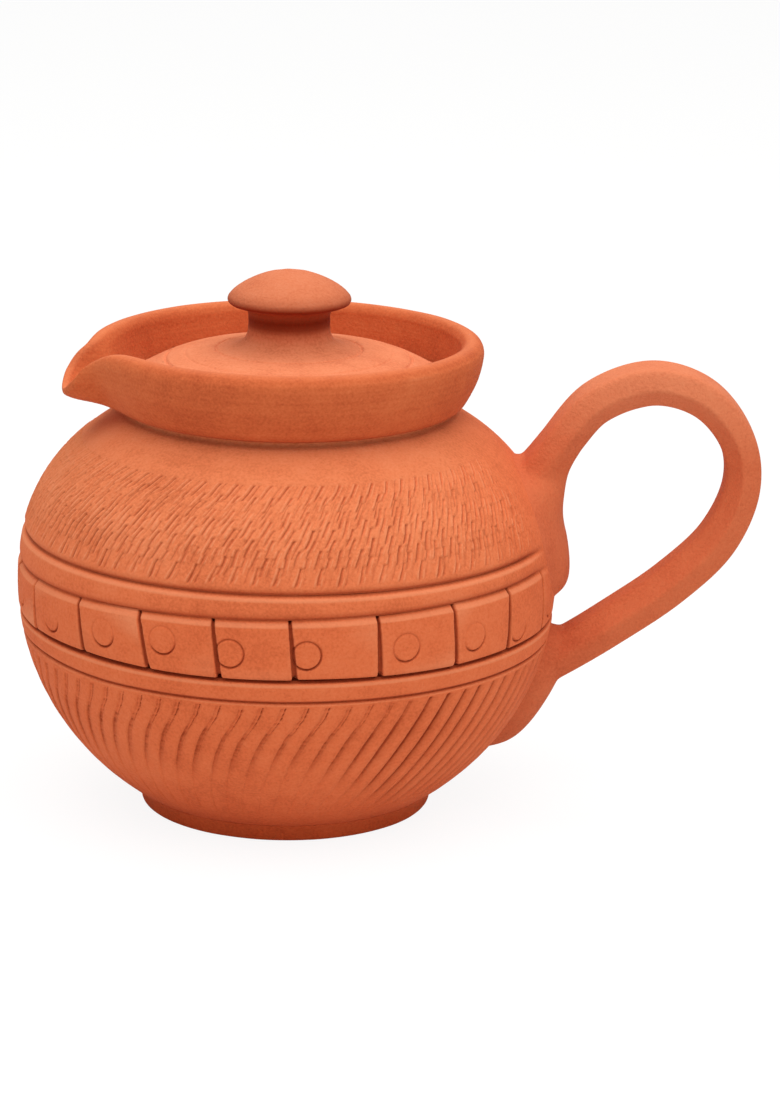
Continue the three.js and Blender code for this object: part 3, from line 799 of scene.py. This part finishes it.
# Share by which a place has the straight flutes of the right
def rightShare(degrees):
    return bump(degrees, 5, 40) * (1 - bump(degrees, 140, 175))


# Degrees that the flutes have swung round at a length along the outline
def fluteSwing(length, name):
    steps = np.linspace(length, fluteSettings["start"], 200)
    lean = np.interp(steps, *zip(*fluteSettings[name]))
    return -float(lean.mean() * (fluteSettings["start"] - length))


# Azimuths of the columns at a length along the outline, in radians
def fluteTurn(length, offsets, jumps):
    sizes = fluteSettings
    shares = np.array(sizes["columns"])
    pitch = 360 / sizes["flutesRound"]
    number = np.arange(sizes["flutesRound"])
    start = number * pitch - 180
    stutter = sizes["stutter"] * (1 - 0.8 * rightShare(start))
    steps = sizes["jumpStep"] * np.arange(jumps.shape[1])
    own = offsets + stutter * np.array([np.interp(length, steps, row) for row in jumps])
    edge = start + own
    degrees = edge[:, None] + shares * (pitch + np.roll(own, -1) - own)[:, None]
    degrees = degrees.ravel()
    right = rightShare((degrees + 180) % 360 - 180)
    degrees = degrees + sizes["leftPhase"] + (sizes["rightPhase"] - sizes["leftPhase"]) * right
    left = fluteSwing(length, "leftLean")
    return np.radians(degrees + left + (fluteSwing(length, "rightLean") - left) * right)


# How much of the flutes is left: they start under the groove and fade above the foot, later on the right
def fluteShares(turn, length):
    sizes = fluteSettings
    degrees = (np.degrees(turn) + 180) % 360 - 180
    wave = sum(size * np.sin(np.radians(degrees) * number + start)
               for size, number, start in sizes["endWaves"])
    end = sizes["end"] + (sizes["rightEnd"] - sizes["end"]) * rightShare(degrees + 8) + wave
    facets, cuts = (bump(length, *(end + reach for reach in sizes[fade])) for fade in ("facetFade", "cutFade"))
    low = sizes["lowShare"] * bump(length, *sizes["lowFade"])
    start = 1 - bump(length, sizes["start"] - 0.7, sizes["start"])
    return plainShare(turn, heightAt(length)) * start * (low + (1 - sizes["lowShare"]) * facets), cuts


def flutedBelly(sizes):
    draws = np.random.default_rng(sizes["seed"])
    count = sizes["flutesRound"]
    offsets = sizes["unevenness"] * draws.uniform(-1, 1, count)
    jumps = np.round(draws.uniform(-1, 1, (count, 50)) * sizes["jump"]) * draws.uniform(0.3, 1, (count, 1))
    jumps[:, -sizes["calmJumps"]:] *= sizes["calm"]
    groove = float(lengthAt(grooves["fluteLine"]["heights"][0]))
    lengths = list(np.linspace(*sizes["footLengths"]))
    lengths += list(np.arange(sizes["carvedFrom"], groove - sizes["closeFrom"], sizes["gap"]))
    close = sizes["closeGap"]
    lengths += list(np.arange(lengths[-1] + close, groove - sizes["grooveEdge"], close))
    flute = np.repeat(np.arange(count), len(sizes["columns"]))
    share = np.tile(sizes["columns"], count)
    outside = []

    def ring(length, turn, height):
        facets, cut = fluteShares(turn, length)
        degrees = (np.degrees(turn) + 180) % 360 - 180
        rough = (1 - 0.8 * rightShare(degrees)) * (0.45 + 0.55 * float(bump(length, 48, 56)))
        labels = {"flute": flute, "share": share, "cutShare": cut, "rough": rough, "plain": facets}
        return bellyRing(turn, height, **labels)

    for length in lengths:
        outside.append(ring(length, fluteTurn(length, offsets, jumps), heightAt(length)))
    turn = fluteTurn(groove, offsets, jumps)
    foot, top = float(heightAt(lengths[-1])), grooveHeight("fluteLine", turn)
    for rise in np.linspace(0, 1, 8)[1:]:
        outside.append(ring(groove, turn, foot + (top - foot) * rise))
    outside[-1]["sharp"] = True
    bare = {"flute": 0, "share": 0, "cutShare": 0, "rough": 0}
    base = bellyShape["footTop"]
    low = fluteTurn(0, offsets, jumps)
    under = [wallRing(low[:1], 0.0, base, **bare)]
    under += [wallRing(low[::step], radius, base, **bare) for radius, step in ((14, 8), (36, 2))]
    inner = insideRings(turn, [top, (top + 46) / 2], (0,), **bare)
    inner += insideRings(turn[::4], sizes["insideLevels"], (), **bare)
    inner += [wallRing(turn[::step], radius, level, **bare) for radius, level, step in sizes["floorRings"]]
    inner.append(wallRing(turn[:1], 0, bellyShape["floorTop"], **bare))
    return ringShell("flutedBelly", under + outside + inner, False)


belly = flutedBelly(fluteSettings)
applyTree(belly, fluteTree, "body_clay")
bodyPieces.append((belly, "pot_bowl"))
print("belly fluted:", len(belly.data.polygons), "faces")

for piece, node in bodyPieces:
    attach(piece, "pot")
    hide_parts(node)

# Foot

footSettings = {"columns": 360, "perStep": 5,
                "edge": [(0, 0.2), (20, 0.2), (38, 0.18), (42.0, 0.12), (42.9, 0.25), (43.3, 0.8), (43.5, 2.4),
                         (43.9, 3.9), (44.5, 4.9), (44.75, 5.25), (38, 5.26), (20, 5.26), (0, 5.26)]}


# Piece of revolution from a profile of (radius, height) points that starts and ends on the axis, with painted
# shade by height where given
def turnedPiece(name, profile, columns, paintedDarkness=((0, 0), (1, 0))):
    rings = []
    length = 0.0
    before = profile[0]
    for radius, height in profile:
        length += math.hypot(radius - before[0], height - before[1])
        before = (radius, height)
        turn = azimuths(1 if radius < 0.001 else columns)
        rings.append({"points": circle(radius, height, turn), "azimuth": turn, "along": length,
                      "turned": np.interp(height, *zip(*paintedDarkness))})
    return ringShell(name, rings, False)


# Smooth run of points through the given ones, as a centripetal spline
def smoothRun(points, perStep, closed=False):
    points, least = np.asarray(points, float), 1e-6
    if closed:
        padded = np.concatenate([points[-1:], points, points[:2]])
    else:
        padded = np.concatenate([2 * points[:1] - points[1:2], points, 2 * points[-1:] - points[-2:-1]])
    run = []
    for place in range(len(padded) - 3):
        near = list(padded[place:place + 4])
        knots = [0.0]
        for first, second in zip(near, near[1:]):
            knots.append(knots[-1] + max(np.linalg.norm(second - first), least) ** 0.5)
        where = (knots[1] + (knots[2] - knots[1]) * np.arange(perStep) / perStep)[:, None]
        for spans in (((0, 1), (1, 2), (2, 3)), ((0, 2), (1, 3)), ((1, 2),)):
            near = [((knots[j] - where) * first + (where - knots[i]) * second) / (knots[j] - knots[i])
                    for (i, j), first, second in zip(spans, near, near[1:])]
        run.append(near[0])
    if not closed:
        run.append(points[-1:])
    return np.concatenate(run)


# The same for a profile, without crowded points near the axis
def roundProfile(points, perStep):
    run = smoothRun(points, perStep)
    run[:, 0] = np.maximum(run[:, 0], 0)
    run[0, 0] = run[-1, 0] = 0
    keep = [0] + [place for place in range(1, len(run) - 1) if run[place, 0] > 0.5] + [len(run) - 1]
    return run[keep]


footProfile = roundProfile(footSettings["edge"], footSettings["perStep"])
foot = turnedPiece("footDisc", footProfile, footSettings["columns"])
applyTree(foot, thrownTree, "body_clay", {"Ring Height": 0.12})
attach(foot, "pot")
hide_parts("foot_disc")
print("foot turned:", len(foot.data.polygons), "faces")

# Collar

collarSettings = {
    "neck": 48.64, "flare": 8.6, "base": 121.1, "height": 20.3, "ledge": 126.2, "ledgeRise": 5.1,
    "well": 48.24, "throat": 43.44, "inside": (0.75, 0.42, 0.12),
    "columns": 640, "perStep": 7, "crowding": 0.5,
    # the lip is turned towards the front by its azimuth; its pull is a tip with steep sides on a soft skirt
    "lipAzimuth": -80, "lipReach": 13.1, "lipDrop": 15.2,
    "reachPull": {"tipShare": 0.43, "tipAngle": 9.9, "tipPower": 12, "skirtAngle": 15.5},
    "dropPull": {"tipShare": 0.27, "tipAngle": 9.3, "tipPower": 16, "skirtAngle": 10.7},
    # by the length from the neck, and by points of the section from its crest: painted shade under the collar
    # and in its well, and a painted highlight on its crest
    "neckShadow": [(1.2, 1.1), (2.6, 0.4), (5.5, 0)], "wellShade": [(8, 0), (24, 0.2)],
    "worn": 0.5, "highlightReach": 7,
    # out and up the section, and the shares of the lip's reach and drop
    "section": [
        (-0.09, 0, 0, 0), (0.12, 0.01, 0.02, 0.01), (0.31, 0.05, 0.05, 0.02), (0.51, 0.17, 0.13, 0.13),
        (0.66, 0.29, 0.2, 0.26), (0.8, 0.42, 0.3, 0.4), (0.91, 0.57, 0.45, 0.56), (0.98, 0.72, 0.59, 0.71),
        (1, 0.81, 0.68, 0.78), (0.96, 0.89, 0.74, 0.83), (0.84, 0.96, 0.82, 0.87), (0.64, 0.995, 0.92, 0.9),
        (0.42, 0.985, 0.96, 0.9), (0.28, 0.92, 0.96, 0.87),
    ],
}


def collarSection(sizes):
    outside = [(sizes["neck"] + sizes["flare"] * out, sizes["base"] + sizes["height"] * up,
                sizes["lipReach"] * reach, sizes["lipDrop"] * drop)
               for out, up, reach, drop in sizes["section"]]
    lip, well, ledge = outside[-1], sizes["well"], sizes["ledge"]
    inside = [(well + (lip[0] - well) * share, ledge + (lip[1] - ledge) * share,
               sizes["lipReach"] * (0.08 + 0.68 * share), sizes["lipDrop"] * (0.22 + 0.58 * share))
              for share in sizes["inside"]]
    dip = sizes["ledgeRise"] * 0.76
    foot = [(well, ledge + 0.02, 0.3, dip * 0.85), (well - 1.2, ledge, 0, dip * 0.9)]
    curve = smoothRun(outside + inside + foot, sizes["perStep"])
    throat = sizes["throat"]
    ending = [(throat + 0.6, ledge, 0, dip), (throat, ledge - 0.6, 0, dip * 0.98),
              (throat, (ledge + sizes["base"]) / 2, 0, dip * 0.5), (throat, sizes["base"], 0, 0)]
    return np.concatenate([curve, np.array(ending)])


# Share of the lip's pull at an angle in degrees from its middle
def pullShare(angle, pull):
    tip = 1 / (1 + (angle / pull["tipAngle"]) ** pull["tipPower"])
    return pull["tipShare"] * tip + (1 - pull["tipShare"]) * np.exp(-(angle / pull["skirtAngle"]) ** 2)


def pouringRim(sizes):
    section = collarSection(sizes)
    even = 2 * math.pi * np.arange(sizes["columns"]) / sizes["columns"]
    fromLip = even - sizes["crowding"] * np.sin(even)
    turn = fromLip + math.radians(sizes["lipAzimuth"])
    away = np.degrees(np.minimum(fromLip, 2 * math.pi - fromLip))
    outPull, downPull = pullShare(away, sizes["reachPull"]), pullShare(away, sizes["dropPull"])
    steps = np.hypot(np.diff(section[:, 0]), np.diff(section[:, 1]))
    lengths = np.concatenate([[0], np.cumsum(steps)])
    crest = int(np.argmax(section[:, 1]))
    rings = []
    for place, (radius, height, reach, drop) in enumerate(section):
        points = circle(radius + reach * outPull, height - drop * downPull, turn)
        # painted shade under the collar and in its well, and a painted highlight on the crest
        paintedDarkness = np.interp(lengths[place], *zip(*sizes["neckShadow"]))
        paintedDarkness += np.interp(place - crest, *zip(*sizes["wellShade"]))
        rings.append({"points": points, "azimuth": (turn + math.pi) % (2 * math.pi) - math.pi,
                      "along": lengths[place], "sharp": place in (0, len(section) - 1), "turned": paintedDarkness,
                      "worn": sizes["worn"] * math.exp(-((place - crest) / sizes["highlightReach"]) ** 2)})
    return ringShell("pouringRim", rings, True)


rim = pouringRim(collarSettings)
applyTree(rim, thrownTree, "collar_clay", {"Ring Height": 0.17, "Ring Gap": 1.0, "Unevenness": 0.3, "Seed": 8})
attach(rim, "pot")
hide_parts("pouring_rim")
print("collar thrown:", len(rim.data.polygons), "faces")

# Handle

handleSettings = {
    "reach": 54.4, "fall": 25.2, "rise": 60.6, "thickness": 11.9, "thinning": 1.4, "width": 19, "flare": 4,
    "path": [(-0.26, 0.583), (-0.11, 0.688), (-0.01, 0.768), (0.2, 0.929), (0.506, 1), (0.785, 0.948),
             (0.967, 0.804), (0.996, 0.65), (0.88, 0.464), (0.632, 0.301), (0.295, 0.146), (-0.02, 0.02),
             (-0.37, -0.09)],
    # half of the section, from the outer face round the ridge to the inner face: aside and outward
    "section": [(0, 1), (0.35, 0.995), (0.62, 0.97), (0.74, 0.93), (0.81, 0.8), (0.905, 0.42), (0.98, 0.06),
                (1.0, -0.05), (0.965, -0.16), (0.77, -0.49), (0.575, -0.85), (0.5, -0.94), (0.4, -0.985),
                (0.25, -1), (0, -1)],
    # from the upper root on, in mm, how much thicker the inner side is as it opens into the pad
    "rootFlare": [(-14, 2.5), (-10.7, 2.0), (-7, 1.52), (-3.9, 1.21), (0, 1.03), (3.9, 0.93), (14.8, 0.93),
                  (30, 1)],
    "voxel": 0.52, "perStep": 24, "loopStep": 4,
    "thin": 0.45, "thinReach": 0.12,  # where along the strap it is thinnest, and how far that reaches
    "corner": (85, 98),  # between the strap and its upper pad, out and up
    "deepest": 2.6,  # how far it reaches into the wall
    # how strongly all of it is wiped, then over which distances more smoothing dies away, and its repeats
    "wiped": 0.35, "rootSoft": (9, 20), "rootRepeat": 34, "cornerSoft": (6, 15), "cornerRepeat": 70,
    "padSides": 96, "padDepth": 2.5, "padSunk": 0.25,
}
padSettings = {
    "upper": {"middle": 85.5, "halfHeight": 21, "halfWidth": 25, "thickness": 4.6, "rootRise": 7.5,
              "sideSoftness": 2.2, "endSoftness": 8, "sideFeather": 1.0},
    "lower": {"middle": 35.2, "halfHeight": 19.6, "halfWidth": 13.8, "thickness": 8.0, "rootRise": 0.5,
              "sideSoftness": 4, "endSoftness": 14, "sideFeather": 0.0},
}


def strapRings(sizes):
    middle = [(bellyShape["radius"] + sizes["reach"] * out,
               bellyShape["height"] - sizes["fall"] + (sizes["rise"] + sizes["fall"]) * up)
              for out, up in sizes["path"]]
    run = smoothRun(middle, sizes["perStep"])
    gaps = np.hypot(*np.diff(run, axis=0).T)
    along = np.concatenate([[0], np.cumsum(gaps)])
    root = along[2 * sizes["perStep"]]  # the third point of the path
    flare = np.interp(along - root, *zip(*sizes["rootFlare"]))
    along /= along[-1]
    tangent = np.gradient(run, along, axis=0)
    tangent /= np.linalg.norm(tangent, axis=1)[:, None]
    outward = np.stack([-tangent[:, 1], tangent[:, 0]], 1)
    half = np.array(sizes["section"])
    loop = np.concatenate([half, half[-2:0:-1] * (-1, 1)])
    loop = smoothRun(loop, sizes["loopStep"], closed=True)
    points = []
    for place, (centre, out, share) in enumerate(zip(run, outward, along)):
        thick = sizes["thickness"] - sizes["thinning"] * math.exp(
            -((share - sizes["thin"]) / sizes["thinReach"]) ** 2)
        width = sizes["width"] + sizes["flare"] * (2 * share - 1) ** 6
        lift = loop[:, 1:2] * np.where(loop[:, 1:2] < 0, flare[place], 1) * thick / 2 * out
        points.append(np.stack([centre[0] + lift[:, 0], loop[:, 0] * width / 2, centre[1] + lift[:, 1]], 1))
    return [points[0].mean(0)[None]] + points + [points[-1].mean(0)[None]]


# Pad of clay over the belly that thins out to nothing under the surface at its rim
def padRings(sizes):
    sides = handleSettings["padSides"]
    turn = 2 * math.pi * np.arange(sides) / sides

    def ring(share, back):
        up = share * np.sin(turn)
        level = sizes["middle"] + sizes["halfHeight"] * up
        angle = sizes["halfWidth"] * share * np.cos(turn) / bellyShape["radius"]
        softness = sizes["sideSoftness"] + (sizes["endSoftness"] - sizes["sideSoftness"]) * np.sin(turn) ** 4
        swell = (1 - min(share, 1.0) ** softness) ** (1 + sizes["sideFeather"] * np.cos(turn) ** 2)
        lift = (sizes["thickness"] * swell + 2 * sizes["rootRise"] * swell * np.maximum(up, 0) ** 2
                - handleSettings["padSunk"])
        lift = np.where(back, -handleSettings["padDepth"], lift - max(share - 1, 0) * 8)
        radius = bellyRadius(level) + lift
        return np.stack([radius * np.cos(angle), radius * np.sin(angle), level], 1)

    face = [ring(share, False) for share in (1.1, 1.0, 0.97, 0.93, 0.88, 0.8, 0.7, 0.58, 0.45, 0.3, 0.15)]
    backs = [ring(share, True) for share in (0.15, 0.4, 0.7, 0.95, 1.1)]
    return [backs[0].mean(0)[None]] + backs + face + [face[-1].mean(0)[None]]


def vertexArray(mesh):
    places = np.zeros(len(mesh.vertices) * 3)
    mesh.vertices.foreach_get("co", places)
    return places.reshape(-1, 3)


# Smooths a piece where the shares of its vertices say, in steps of a tenth
def soften(piece, name, shares, repeat):
    group = piece.vertex_groups.new(name=name)
    tenths = np.round(shares * 10)
    for tenth in range(1, 11):
        group.add(np.nonzero(tenths == tenth)[0].tolist(), tenth / 10, "REPLACE")
    smooth = piece.modifiers.new("soften", "SMOOTH")
    smooth.factor, smooth.iterations, smooth.vertex_group = 0.5, repeat, name


def pulledHandle(sizes):
    points, faces = [], []
    for rings in [strapRings(sizes)] + [padRings(pad) for pad in padSettings.values()]:
        faces += shellFaces([len(ring) for ring in rings], False, sum(len(ring) for ring in points))
        points += rings
    strap = makePiece("pulledHandle", np.concatenate(points), faces)
    remesh = strap.modifiers.new("blend", "REMESH")
    remesh.mode, remesh.voxel_size = "VOXEL", sizes["voxel"] * mm
    bakeModifiers(strap)
    places = vertexArray(strap.data) / mm
    # the roots are softened into the pads, and the strap between them keeps its facets
    out = np.hypot(places[:, 0], places[:, 1]) - bellyRadius(places[:, 2])
    corner = np.hypot(places[:, 0] - sizes["corner"][0], places[:, 2] - sizes["corner"][1])
    strap.modifiers.new("wiped", "SMOOTH").factor = sizes["wiped"]
    soften(strap, "roots", 1 - bump(out, *sizes["rootSoft"]), sizes["rootRepeat"])
    soften(strap, "corner", 1 - bump(corner, *sizes["cornerSoft"]), sizes["cornerRepeat"])
    bakeModifiers(strap)
    # nothing comes through to the inside of the pot
    places = vertexArray(strap.data) / mm
    radius = np.hypot(places[:, 0], places[:, 1])
    least = bellyRadius(places[:, 2]) - sizes["deepest"]
    grow = np.maximum(1, least / np.maximum(radius, 1))
    places[:, :2] *= grow[:, None]
    strap.data.vertices.foreach_set("co", (places * mm).ravel())
    strap.data.polygons.foreach_set("use_smooth", np.full(len(strap.data.polygons), True))
    strap.data.materials.clear()
    strap.data.materials.append(clays["handle_clay"])
    strap.data.update()
    return strap


handle = pulledHandle(handleSettings)
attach(handle, "pot")
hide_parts("handle_strap", "handle_upper_pad", "handle_lower_pad")
print("handle pulled:", len(handle.data.polygons), "faces")

# Lid

lidSettings = {
    "radius": 47.24, "bottom": 126.5, "height": 11.9, "thickness": 5, "seat": 40.24, "edge": 3,
    "columns": 420, "perStep": 7,
    "dome": [(0.985, 0.26), (0.94, 0.37), (0.87, 0.52), (0.77, 0.7), (0.64, 0.84), (0.48, 0.94), (0.36, 0.985),
             (0.2, 1.0)],
    # radius, depth and width of the turned lines
    "ringMarks": [(36.2, 0.6, 0.45), (30.5, 0.25, 0.4), (21.4, 0.5, 0.4)],
}


def lidProfile(sizes):
    radius, bottom, height = sizes["radius"], sizes["bottom"], sizes["height"]
    seat, hollow = sizes["seat"], sizes["height"] - sizes["thickness"]
    under = [(0, bottom + hollow), (0.25 * seat, bottom + hollow), (0.4 * seat, bottom + hollow * 0.98),
             (0.7 * seat, bottom + hollow * 0.66), (0.9 * seat, bottom + hollow * 0.24), (seat, bottom + 0.1),
             (seat + 1.2, bottom), (radius - 1.2, bottom), (radius - 0.3, bottom + 0.4),
             (radius, bottom + sizes["edge"] / 3)]
    dome = [(radius * out, bottom + height * up) for out, up in sizes["dome"]] + [(0, bottom + height)]
    run = roundProfile(under + dome, sizes["perStep"])
    edge = int(np.argmax(run[:, 0])) + 1
    lower, upper = run[:edge], run[edge:]
    # the turned lines need points of their own
    radii = upper[:, 0]
    for radiusAt, depth, width in sizes["ringMarks"]:
        radii = np.append(radii, radiusAt + width * np.linspace(-2, 2, 9))
    radii = np.unique(radii)[::-1]
    rises = np.interp(-radii, -upper[:, 0], upper[:, 1])
    for radiusAt, depth, width in sizes["ringMarks"]:
        rises -= depth * np.exp(-((radii - radiusAt) / width) ** 2)
    return np.concatenate([lower, np.stack([radii, rises], 1)])


dome = turnedPiece("lidDome", lidProfile(lidSettings), lidSettings["columns"])
applyTree(dome, thrownTree, "lid_clay", {"Ring Height": 0.14, "Ring Gap": 1.1, "Unevenness": 0.25, "Seed": 21})
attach(dome, "lid")
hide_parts("lid_dome")

knobSettings = {
    "base": 138.7, "columns": 300, "perStep": 6,
    # height, and how much painted shade it takes, most under the cap and down the neck
    "paintedDarkness": [(142, 0), (143.5, 0.25), (145.3, 1.1), (147.2, 1.3), (148.6, 1.0), (150, 1.0), (151.7, 1.4),
             (152.4, 1.0), (154, 0.6), (156, 0.33), (162, 0.24)],
    # radius and height; the foot is drawn out softly over the dome
    "profile": [(0, -1.2), (10, -1.2), (18.6, -0.95), (16.6, -0.1), (14.7, 0.7), (13.1, 2.0), (12.3, 3.6),
                (12.0, 5.6), (11.95, 7.6), (12.1, 9.8), (12.8, 11.2), (14.5, 12.0), (16.4, 12.35),
                (17.6, 12.85), (18.1, 13.7), (17.95, 14.6), (17.3, 15.5), (16, 16.75), (13.6, 18.4),
                (10.5, 20.0), (7, 21.3), (3.5, 22.0), (0, 22.2)],
}


knobProfile = roundProfile([(radius, knobSettings["base"] + rise) for radius, rise in knobSettings["profile"]],
                           knobSettings["perStep"])
knob = turnedPiece("lidKnob", knobProfile, knobSettings["columns"], knobSettings["paintedDarkness"])
applyTree(knob, thrownTree, "lid_clay", {"Ring Height": 0.12, "Ring Gap": 1.0, "Unevenness": 0.3, "Seed": 30})
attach(knob, "lid")
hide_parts("lid_knob")
print("lid and knob made:", len(dome.data.polygons) + len(knob.data.polygons), "faces")

# Stage and light

stageSettings = {"floorSize": 6000, "floor": "#EFEDEA", "roughness": 0.9, "seenWhite": 0.84, "glow": 1.07,
                 "sky": 0.37, "key": 24.2, "keySize": 2200, "keyPlace": (90, -230, 1290), "keyAim": (0, 0, 60)}


# Results of a tree in which seen is 1 for what the camera sees straight, mirrored or through a thing
def seenKnown(tree):
    path = addNode(tree, "ShaderNodeLightPath")
    known = {label: path.outputs[label] for label in ("Is Camera Ray", "Is Glossy Ray", "Is Transmission Ray")}
    addRows(tree, known, [("seen", "MAXIMUM", list(known))])
    return known


def makeFloor(sizes):
    half = sizes["floorSize"] / 2
    floor = makePiece("floor", [(-half, -half, 0), (half, -half, 0), (half, half, 0), (-half, half, 0)],
                      [[0, 1, 2, 3]], smooth=False)
    paper = bpy.data.materials.new("studioPaper")
    paper.use_nodes = True
    tree = paper.node_tree
    shader = tree.nodes["Principled BSDF"]
    shader.inputs["Base Color"].default_value = linearColour(sizes["floor"])
    shader.inputs["Roughness"].default_value = sizes["roughness"]
    # straight from the camera the paper is nearly burnt out to white, and keeps a soft shadow
    known = {**seenKnown(tree), "paper": shader.outputs[0]}
    addRows(tree, known, [
        ("share", "MULTIPLY", ("seen", sizes["seenWhite"])),
        ("white", "ShaderNodeEmission", {"Strength": sizes["glow"]}),
        ("mixed", "ShaderNodeMixShader", ("share", "paper", "white")),
    ])
    tree.links.new(known["mixed"], tree.nodes["Material Output"].inputs["Surface"])
    floor.data.materials.append(paper)


def makeWorld(sizes):
    world = bpy.data.worlds.new("studio")
    bpy.context.scene.world = world
    world.use_nodes = True
    tree = world.node_tree
    tree.nodes.clear()
    known = seenKnown(tree)
    addRows(tree, known, [
        ("strength", rangeNode, ("seen", 0, 1, sizes["sky"], 1)),
        ("sky", "ShaderNodeBackground", {"Color": (1, 1, 1, 1), "Strength": "strength"}),
    ])
    addNode(tree, "ShaderNodeOutputWorld", {"Surface": known["sky"]})


def makeKey(sizes):
    data = bpy.data.lights.new("softBox", "AREA")
    data.shape, data.size = "DISK", sizes["keySize"] * mm
    data.energy = sizes["key"]
    key = bpy.data.objects.new("softBox", data)
    place, aim = Vector(sizes["keyPlace"]) * mm, Vector(sizes["keyAim"]) * mm
    key.location = place
    key.rotation_mode = "QUATERNION"
    key.rotation_quaternion = (aim - place).to_track_quat("-Z", "Y")
    bpy.context.scene.collection.objects.link(key)


makeFloor(stageSettings)
makeWorld(stageSettings)
makeKey(stageSettings)
bpy.context.scene.view_settings.view_transform = "Standard"
print("stage lit")
